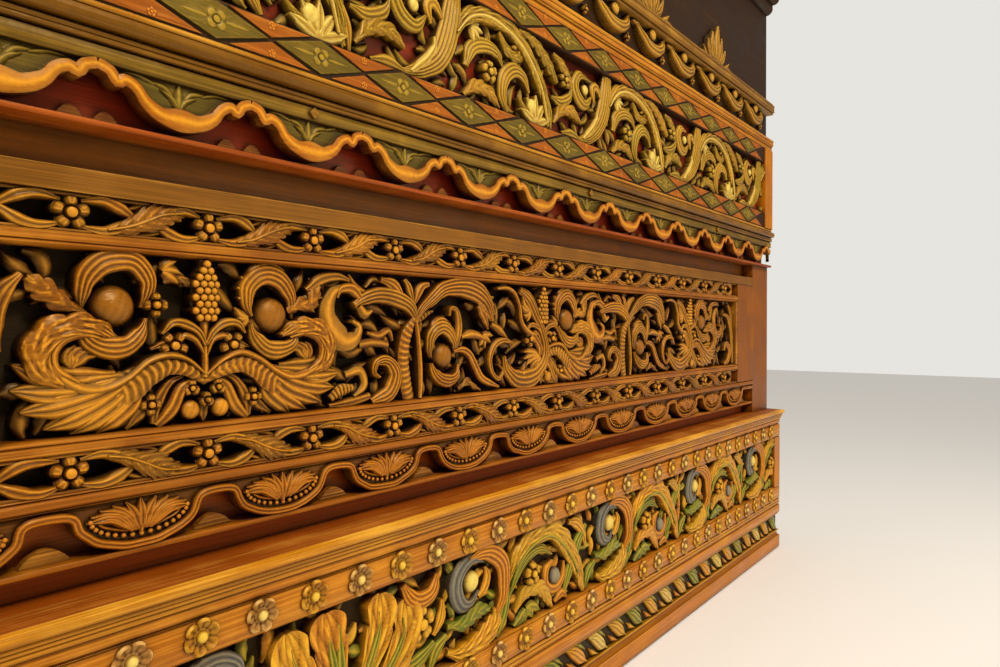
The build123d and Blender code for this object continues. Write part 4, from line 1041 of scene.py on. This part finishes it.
def ribbon():
    """A folded ribbon that hangs in loops, with a leafy olive board above each loop."""
    low, high = box("ribbon_valance")
    bottom, top, half = low[2], high[2], RIBBON_PITCH / 2
    shoulder = bottom + 40
    right_half = [(0, 14), (22, 15), (40, 25), (50, 38), (62, 44), (71, 40), (78, 50), (90.5, 55)]
    fold = [(-dx, dz) for dx, dz in right_half[:0:-1]] + right_half
    c = Carving("ribbon_carving", upper_front + 1, upper_front + 22, jitter=0.2)
    for x in spaced(0.23 * RIBBON_PITCH, RIBBON_PITCH, low[0] + 20 - half, high[0] - 20 + half):
        inside = [(x + dx, bottom + dz) for dx, dz in fold if low[0] + 5 < x + dx < high[0] - 5]
        c.at(0, 0)
        if len(inside) > 2:
            widths = (6, 6.5, 6.5, 9, 13.5, 9, 6.5, 6.5, 6) if len(inside) == len(fold) else 7
            c.blade(inside, widths, 0, -1, 1, groove=3)
        edge = [(x - half, top), (x - half, shoulder + 14)]
        edge += [(x + 44 * math.cos(a), shoulder + 32 * math.sin(a)) for a in arc(8)]
        edge += [(x + half, shoulder + 14), (x + half, top)]
        edge = [(min(max(px, low[0]), high[0]), pz) for px, pz in edge]
        c.plate(edge, upper_front + 9, upper_front + 20, 1)
        if low[0] + 74 < x < high[0] - 74:
            c.at(x, bottom)
            c.leaf((0, 24), (0, 58), 7, 6, 2, 1, 0, 2)
            for side in (-1, 1):
                c.leaf((0, 24), (side * 22, 46), 5, 6, 2, 1, side * 0.15, 2)
                c.leaf((side * 4, 34), (side * 34, 52), 5, 7, 2, 1, side * 0.2, 2)
                c.leaf((side * 28, 50), (side * 66, 54), 4, 7, 2, 1, side * 0.1, 2)
    c.finish([ribbon_gold, olive_flat, olive_carved], "ribbon_valance")


ribbon()
low, high = box("ribbon_bead")
pairs = [x + side * 18 for x in spaced(-0.27 * RIBBON_PITCH, RIBBON_PITCH, low[0] - 18, high[0] + 18)
         for side in (-1, 1)]
bumps("ribbon_bead", [x for x in pairs if low[0] + 14 < x < high[0] - 14], 32, 18, bump_red)


def lozenges(level):
    """Olive lozenges with a flower and leaves, and orange triangles between them."""
    node = level + "_lozenge_band"
    low, high = box(node)
    half, pitch, face = (high[2] - low[2]) / 2, 154, upper_front
    reach, middle = pitch / 2 - 5, (low[2] + high[2]) / 2
    c = Carving(level + "_lozenge_carving", face - 2, face + 8, jitter=0)
    c.rail(low[0], high[0], low[2], high[2], face + 1.2, face + 50, 0.5)
    for x in spaced(-51, pitch, low[0] - 11, high[0]):
        if x - reach > low[0] and x + reach < high[0]:
            c.at(x, middle)
            c.plate((-reach, 0, 0, -half + 3, reach, 0, 0, half - 3), face - 1.5, face + 4, 1)
            c.flower(0, 0, 15, 4, 2.2, 0.8, 1, 2, math.pi / 4)
            for side in (-1, 1):
                c.leaf((side * 13, 0), (side * 44, 0), 4.5, 0.2, 1, 1, 0, 2, groove=0.5)
                for up in (1, -1):
                    c.leaf((side * 12, up * 5), (side * 34, up * 9), 3, 0.4, 1, 0, up * side * 0.1, 2)
        if x + pitch / 2 < high[0] - 66:
            for side in (-1, 1):
                c.at(x + pitch / 2, middle + side * half)
                c.plate((-60, -side * 2.5, 60, -side * 2.5, 0, -side * (half - 3)), face - 0.8, face + 4, 3)
                c.flower(0, -side * 8, 6, 5, 1, 0.6, 1.2, 4)
                for way in (-1, 1):
                    c.leaf((way * 6, -side * 6), (way * 34, -side * 6), 3, 1, 0.8, 0, 0.05, 4)
    c.finish([dark_line, olive_flat, olive_carved, orange_flat, orange_carved], node)


lozenges("lower")
lozenges("upper")


def upper_unit(c, x, z):
    """From the flaring trunk: an arching leaf to the right, curls and pale leaves to the left."""
    c.at(x, z)
    c.blade((-114, 2, -74, 18, -38, 48, -13, 90, -2, 132, 4, 168), (7, 15, 20, 23, 22, 17), (4, 1, 0, 1, 2),
            4, 6, groove=1.8, tilt=3)
    c.blade((2, 96, 24, 130, 60, 154, 110, 165, 160, 158, 206, 136, 244, 100, 272, 56, 286, 6),
            (10, 15, 17, 17, 17, 18, 18, 14, 6), (2, 0, 0, 1, 4), 4, 4, groove=1.6, lobes=9, cut=0.3, side=1,
            slant=1.8, vein=1.8, sweep=1.0, tilt=3)
    c.blade((8, 104, 40, 140, 84, 156, 130, 156, 180, 140, 222, 110, 254, 70, 272, 20), (2, 4, 5, 5, 5, 4, 3),
            -1, 2, 1, 1)
    c.blade((186, 168, 232, 162, 278, 138, 316, 104), (6, 14, 15, 5), 4, 4, lobes=6, cut=0.28, slant=1.0,
            vein=2)
    c.blade((296, 4, 290, 44, 264, 82, 238, 98), (4, 10, 10, 3), 7, 3, 2)
    c.blade((150, 4, 136, 34, 144, 68, 172, 88, 204, 82, 218, 56), (5, 12, 15, 15, 12, 4), (4, 1, 2), 4, 4,
            tilt=3)
    c.ball(226, 32, 16, 10, 2, 9, 1)
    c.blade((186, 40, 212, 20, 248, 24, 266, 44), (4, 11, 11, 3), 5, 4, lobes=4, slant=0.9, vein=1.8)
    c.blade((128, 148, 148, 122, 178, 114, 206, 124), (5, 12, 12, 4), 6, 3, lobes=4, slant=0.9, vein=1.8)
    c.fan((186, 150), (166, 128, 186, 120, 210, 122), 9, 6, 3, 1, 0.15)
    c.blade((38, 58, 54, 92, 88, 110, 124, 106, 142, 84), (6, 14, 15, 13, 4), 6, 4, 4, tilt=3)
    c.flower(96, 62, 21, 5, 9, 5, 8)
    c.blade((30, 4, 62, 28, 100, 28, 128, 6), (5, 14, 14, 4), 6, 4, lobes=5, cut=0.25, slant=0.9, vein=1.8)
    c.fan((50, 130), (72, 140, 82, 128, 74, 114, 58, 104), 9, 8, 3, 1, 0.1, 1)
    c.blade((-58, 110, -86, 86, -118, 92, -131, 118, -114, 143, -84, 142), (4, 11, 14, 13, 11, 4), (5, 1, 3),
            4, 3, tilt=3)
    c.ball(-92, 116, 12, 8, 2, 9, 1)
    c.blade((-28, 118, -44, 134, -60, 126, -54, 98), (4, 10, 10, 3), 4, 3, 2)
    c.blade((-98, 8, -66, 34, -46, 60, -44, 80), (5, 10, 9, 3), 3, 4, 2, 1)
    c.blade((-184, 4, -148, 10, -112, 4), (4, 10, 5), 4, 3, 2)
    c.blade((-212, 18, -182, 50, -142, 58, -112, 42), (4, 13, 13, 4), 4, 4, lobes=5, cut=0.25, slant=0.9,
            vein=2)
    c.blade((-218, 70, -186, 68, -152, 84, -142, 108), (4, 12, 12, 3), 6, 4, 3)
    c.blade((-212, 160, -178, 146, -152, 122, -128, 98), (5, 14, 14, 4), 6, 4, lobes=5, cut=0.25, slant=0.9,
            vein=2)
    c.flower(-170, 116, 18, 5, 8, 5, 9)
    c.at(x - 275, z)
    for k in range(5):
        turn = math.radians(18 + 36 * k)
        c.leaf((0, 2), (50 * math.cos(turn), 6 + 50 * math.sin(turn)), 12, 3, 4, 2, 0, 1)


def upper_field():
    low, high = box("upper_carved_field")
    c = Carving("upper_field_carving", upper_front + 1, upper_front + 32, fine=1.3)
    c.undergrowth(low[0], high[0], low[2], high[2], 33, 15, (0,), 0.3)
    period = 515
    for x in range(-905, 1156, period):
        upper_unit(c, x, low[2])
    clip_sideways(c.finish([sage, sage_cream], "upper_carved_field"), low[0], high[0])
    ground("upper_carved_field", "upper_field_ground", upper_front, 25, 48, red_ground)


upper_field()


def brackets():
    """Crescents under the dark frieze's board, with a boss in each and a drop between."""
    low, high = box("scroll_brackets")
    c = Carving("scroll_bracket_row", dark_front - 26, dark_front, jitter=0.5)
    pitch = 190
    for x in spaced(-0.16 * pitch, pitch, low[0] + 75, high[0] - 60):
        c.at(x, box("bracket_board")[1][2])
        c.blade((-72, -6, -52, -34, -20, -50, 20, -50, 52, -34, 72, -6), (5, 12, 15, 15, 12, 5),
                (12, 2, 0, 2, 12), 7, 3, groove=2.2)
        c.ball(0, -16, 15, 9, 3, 12)
        c.leaf((-62, -8), (-96, -8), 6, 14, 3, 1)
    for x in spaced(0.22 * pitch, pitch, low[0] + 9, high[0]):
        c.at(x, low[2] + 12)
        c.flower(0, 4, 12, 4, 10, 4, 24)
    c.finish([gold], "scroll_brackets")


def antefix_row():
    """Standing palmettes of pointed leaves, each on a dark plate."""
    low, high = box("antefixes")
    tall, pitch = high[2] - low[2], 430
    c = Carving("antefix_row", dark_front - 18, dark_front, jitter=0.4)
    right_half = [(144, 1), (120, 22), (84, 40), (78, 62), (50, 78), (30, 100), (0, tall - 1)]
    outline = [(-144, 1)] + right_half + [(-x, z) for x, z in right_half[-2:0:-1]]
    for x in spaced(-0.17 * pitch, pitch, low[0] + 130, high[0]):
        c.at(x, low[2])
        c.plate(outline, dark_front - 6, dark_front - 0.5, 1)
        c.leaf((0, 2), (0, tall - 4), 20, 2, 8, 3)
        for side in (-1, 1):
            c.leaf((side * 10, 4), (side * 34, 88), 13, 5, 6, 3, -side * 0.12)
            c.leaf((side * 16, 4), (side * 66, 60), 13, 6, 6, 3, -side * 0.14)
            c.leaf((side * 24, 4), (side * 100, 30), 11, 7, 5, 2, -side * 0.14)
            c.blade((side * 60, 6, side * 98, 10, side * 126, 8), (5, 8, 3), 8, 4, 2)
    c.finish([gold, dark_brown], "antefixes")


brackets()
antefix_row()


def moulded(node, name, plane, back, materials, rows):
    """Bands along a node. A row holds two levels above the node's foot, how far the band lies behind the
    plane, how far it is rounded out, and its paint."""
    low, high = box(node)
    c = Carving(name, 0, 0, jitter=0)
    for z0, z1, y, out, shade in rows:
        z0, z1, y, ease = low[2] + z0, low[2] + z1, plane + y, 1.2
        profile = [(z0, y + ease), (z0 + ease, y), (z1 - ease, y), (z1, y + ease)]
        if out:
            profile = [((z0 + z1) / 2 - (z1 - z0) / 2 * math.cos(a), y - out * math.sin(a))
                       for a in np.linspace(0, math.pi, 9)]
        c.strip(low[0], high[0], profile, back, shade)
    c.finish(materials, node, 50)


ridge = 17 / 3
moulded("lower_cap_moulding", "lower_cap_bands", lower_front, lower_front + 40,
        [orange_strip, gold_strip, board_strip],
        ((0, 2.5, 3, 0, 0), (2.5, 18, 0, 0, 0), (17.5, 19 + ridge, -3, 1.5, 1),
         (19 + ridge, 19 + 2 * ridge, -6, 1.5, 1), (19 + 2 * ridge, 36, -9, 1.5, 1),
         (36, 39, -13, 0, 0), (38.5, 48.3, -17, 0, 1), (43, 49, -3, 0, 2)))
moulded("lower_rail", "lower_rail_bands", lower_front, lower_front + 40, [orange_strip, gold_strip],
        ((0, 2, 3, 0, 0), (2, 29, 0, 0, 0), (29, 34, 3, 0, 0), (34, 42, 3, 3, 1), (42, 50, 3, 3, 1)))
for level in ("lower", "upper"):
    moulded(level + "_rosette_band", level + "_rosette_board", lower_front, lower_front + 40, [orange_strip],
            ((0, 2.5, 3, 0, 0), (2.5, 43.5, 0, 0, 0), (43.5, 46, 3, 0, 0)))
moulded("half_round_moulding", "half_round_bands", upper_front, upper_front + 50,
        [orange_strip, gold_strip, olive_round],
        ((0, 6, 0, 2, 2), (6, 12, 0, 2, 2), (12, 14, 2, 0, 0), (14, 33, -2, 9, 2), (33, 35, 1, 0, 0),
         (35, 43, 0, 0, 1)))
moulded("upper_top_moulding", "upper_top_bands", upper_front, upper_front + 50, [orange_strip, gold_strip],
        ((0, 14, 0, 0, 0), (14, 18, -2, 1.5, 1), (18, 28, -6, 0, 0), (28, 39, -2, 5, 1)))
moulded("valance_rail", "valance_rail_bands", middle_front, plank_front, [red_strip],
        ((0, 3, 2, 0, 0), (3, 14, 0, 3, 0), (14, 17, 2, 0, 0)))
moulded("olive_fascia", "olive_fascia_board", upper_front, upper_front + 50, [olive_strip, dark_line],
        ((0, 2, 6, 0, 1), (2, 20, 2, 0, 0), (20, 22, 5, 0, 1)))
moulded("gold_rail", "gold_rail_bands", dark_front, plank_front, [gold_band],
        ((0, 6, -24, 0, 0), (6, 11, -28, 2, 0), (11, 26, -29, 0, 0), (26, 31, -28, 2, 0),
         (31, 40, -20, 4, 0)))


# Paints on the CAD nodes that stay in sight. The board behind the middle field takes the near-black painted
# shade.

for material, names in (
    (timber_sill, "base_sill"), (timber, "left_upright middle_upright right_upright"),
    (wall_plank, "bottom_wall_plank lower_wall_plank high_wall_plank top_wall_plank"),
    (wall_painted_shade, "middle_wall_plank"), (wall_brown, "upper_wall_plank"), (orange_gold, "skirting"),
    (orange_post, "lower_left_stile lower_right_stile upper_left_stile upper_right_stile"),
    (wall_red, "lower_left_cheek lower_right_cheek"), (shelf_board, "lower_shelf"),
    (red_post, "middle_left_stile middle_right_stile middle_left_post middle_right_post"),
    (light_rail, "middle_top_rail"), (red_ground, "ribbon_recess"), (gold_plain, "fascia_studs"),
    (dark_brown, "bracket_board antefix_board top_board cornice cornice_cap"),
):
    for name in names.split():
        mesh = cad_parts[name].data
        mesh.materials.clear()
        mesh.materials.append(material)


# Floor, light and camera, in metres.


def floor():
    mesh = bpy.data.meshes.new("floor")
    mesh.from_pydata([(-12, -12, 0), (12, -12, 0), (12, 12, 0), (-12, 12, 0)], [], [(0, 1, 2, 3)])
    material = bpy.data.materials.new("floor")
    material.use_nodes = True
    shader = material.node_tree.nodes["Principled BSDF"]
    shader.inputs["Base Color"].default_value = (0.84, 0.82, 0.79, 1)
    shader.inputs["Roughness"].default_value = 0.8
    mesh.materials.append(material)
    piece = put("floor", mesh)


def light(name, kind, power, colour, place=(0, 0, 0), turn=(0, 0, 0), **settings):
    lamp = bpy.data.lights.new(name, kind)
    lamp.energy, lamp.color = power, colour
    for key, value in settings.items():
        setattr(lamp, key, value)
    put(name, lamp, place, turn)


def area(name, power, colour, place, target, size):
    turn = Vector(np.array(target) - np.array(place)).to_track_quat("-Z", "Y").to_euler()
    light(name, "AREA", power, colour, place, turn, shape="RECTANGLE", size=size[0], size_y=size[1])


floor()
area("key", 98, (1.0, 0.88, 0.72), (-0.9, -2.4, 3.4), (0, 0, 0.85), (1.1, 0.7))
area("fill", 20, (1.0, 0.90, 0.76), (1.8, -2.9, 1.5), (0.2, 0, 0.8), (2.0, 2.0))
light("above", "SUN", 1.5, (1.0, 0.96, 0.90), turn=(math.radians(14), math.radians(-10), 0),
      angle=math.radians(60))

# The world lights with one grey and shows the camera a paler one.
world = bpy.data.worlds.new("studio")
world.use_nodes = True
tree = world.node_tree
shades = tree.nodes["Background"], tree.nodes.new("ShaderNodeBackground")
choice = tree.nodes.new("ShaderNodeMixShader")
tree.links.new(tree.nodes.new("ShaderNodeLightPath").outputs["Is Camera Ray"], choice.inputs[0])
for i, (colour, strength) in enumerate((((0.80, 0.77, 0.72, 1), 0.27), ((0.84, 0.82, 0.78, 1), 0.95))):
    shades[i].inputs[0].default_value = colour
    shades[i].inputs[1].default_value = strength
    tree.links.new(shades[i].outputs[0], choice.inputs[i + 1])
tree.links.new(choice.outputs[0], tree.nodes["World Output"].inputs[0])
bpy.context.scene.world = world
bpy.context.scene.view_settings.view_transform = "Standard"

# The camera stands close to the carving at the bay's left end and looks along it.
camera = bpy.data.cameras.new("camera")
camera.sensor_width, camera.lens, camera.clip_start = 36, 25.2, 0.02
bpy.context.scene.camera = put("camera", camera, (-1.270, -0.828, 0.770),
                               (math.radians(90 - 0.43), 0, math.radians(38.66 - 90)))
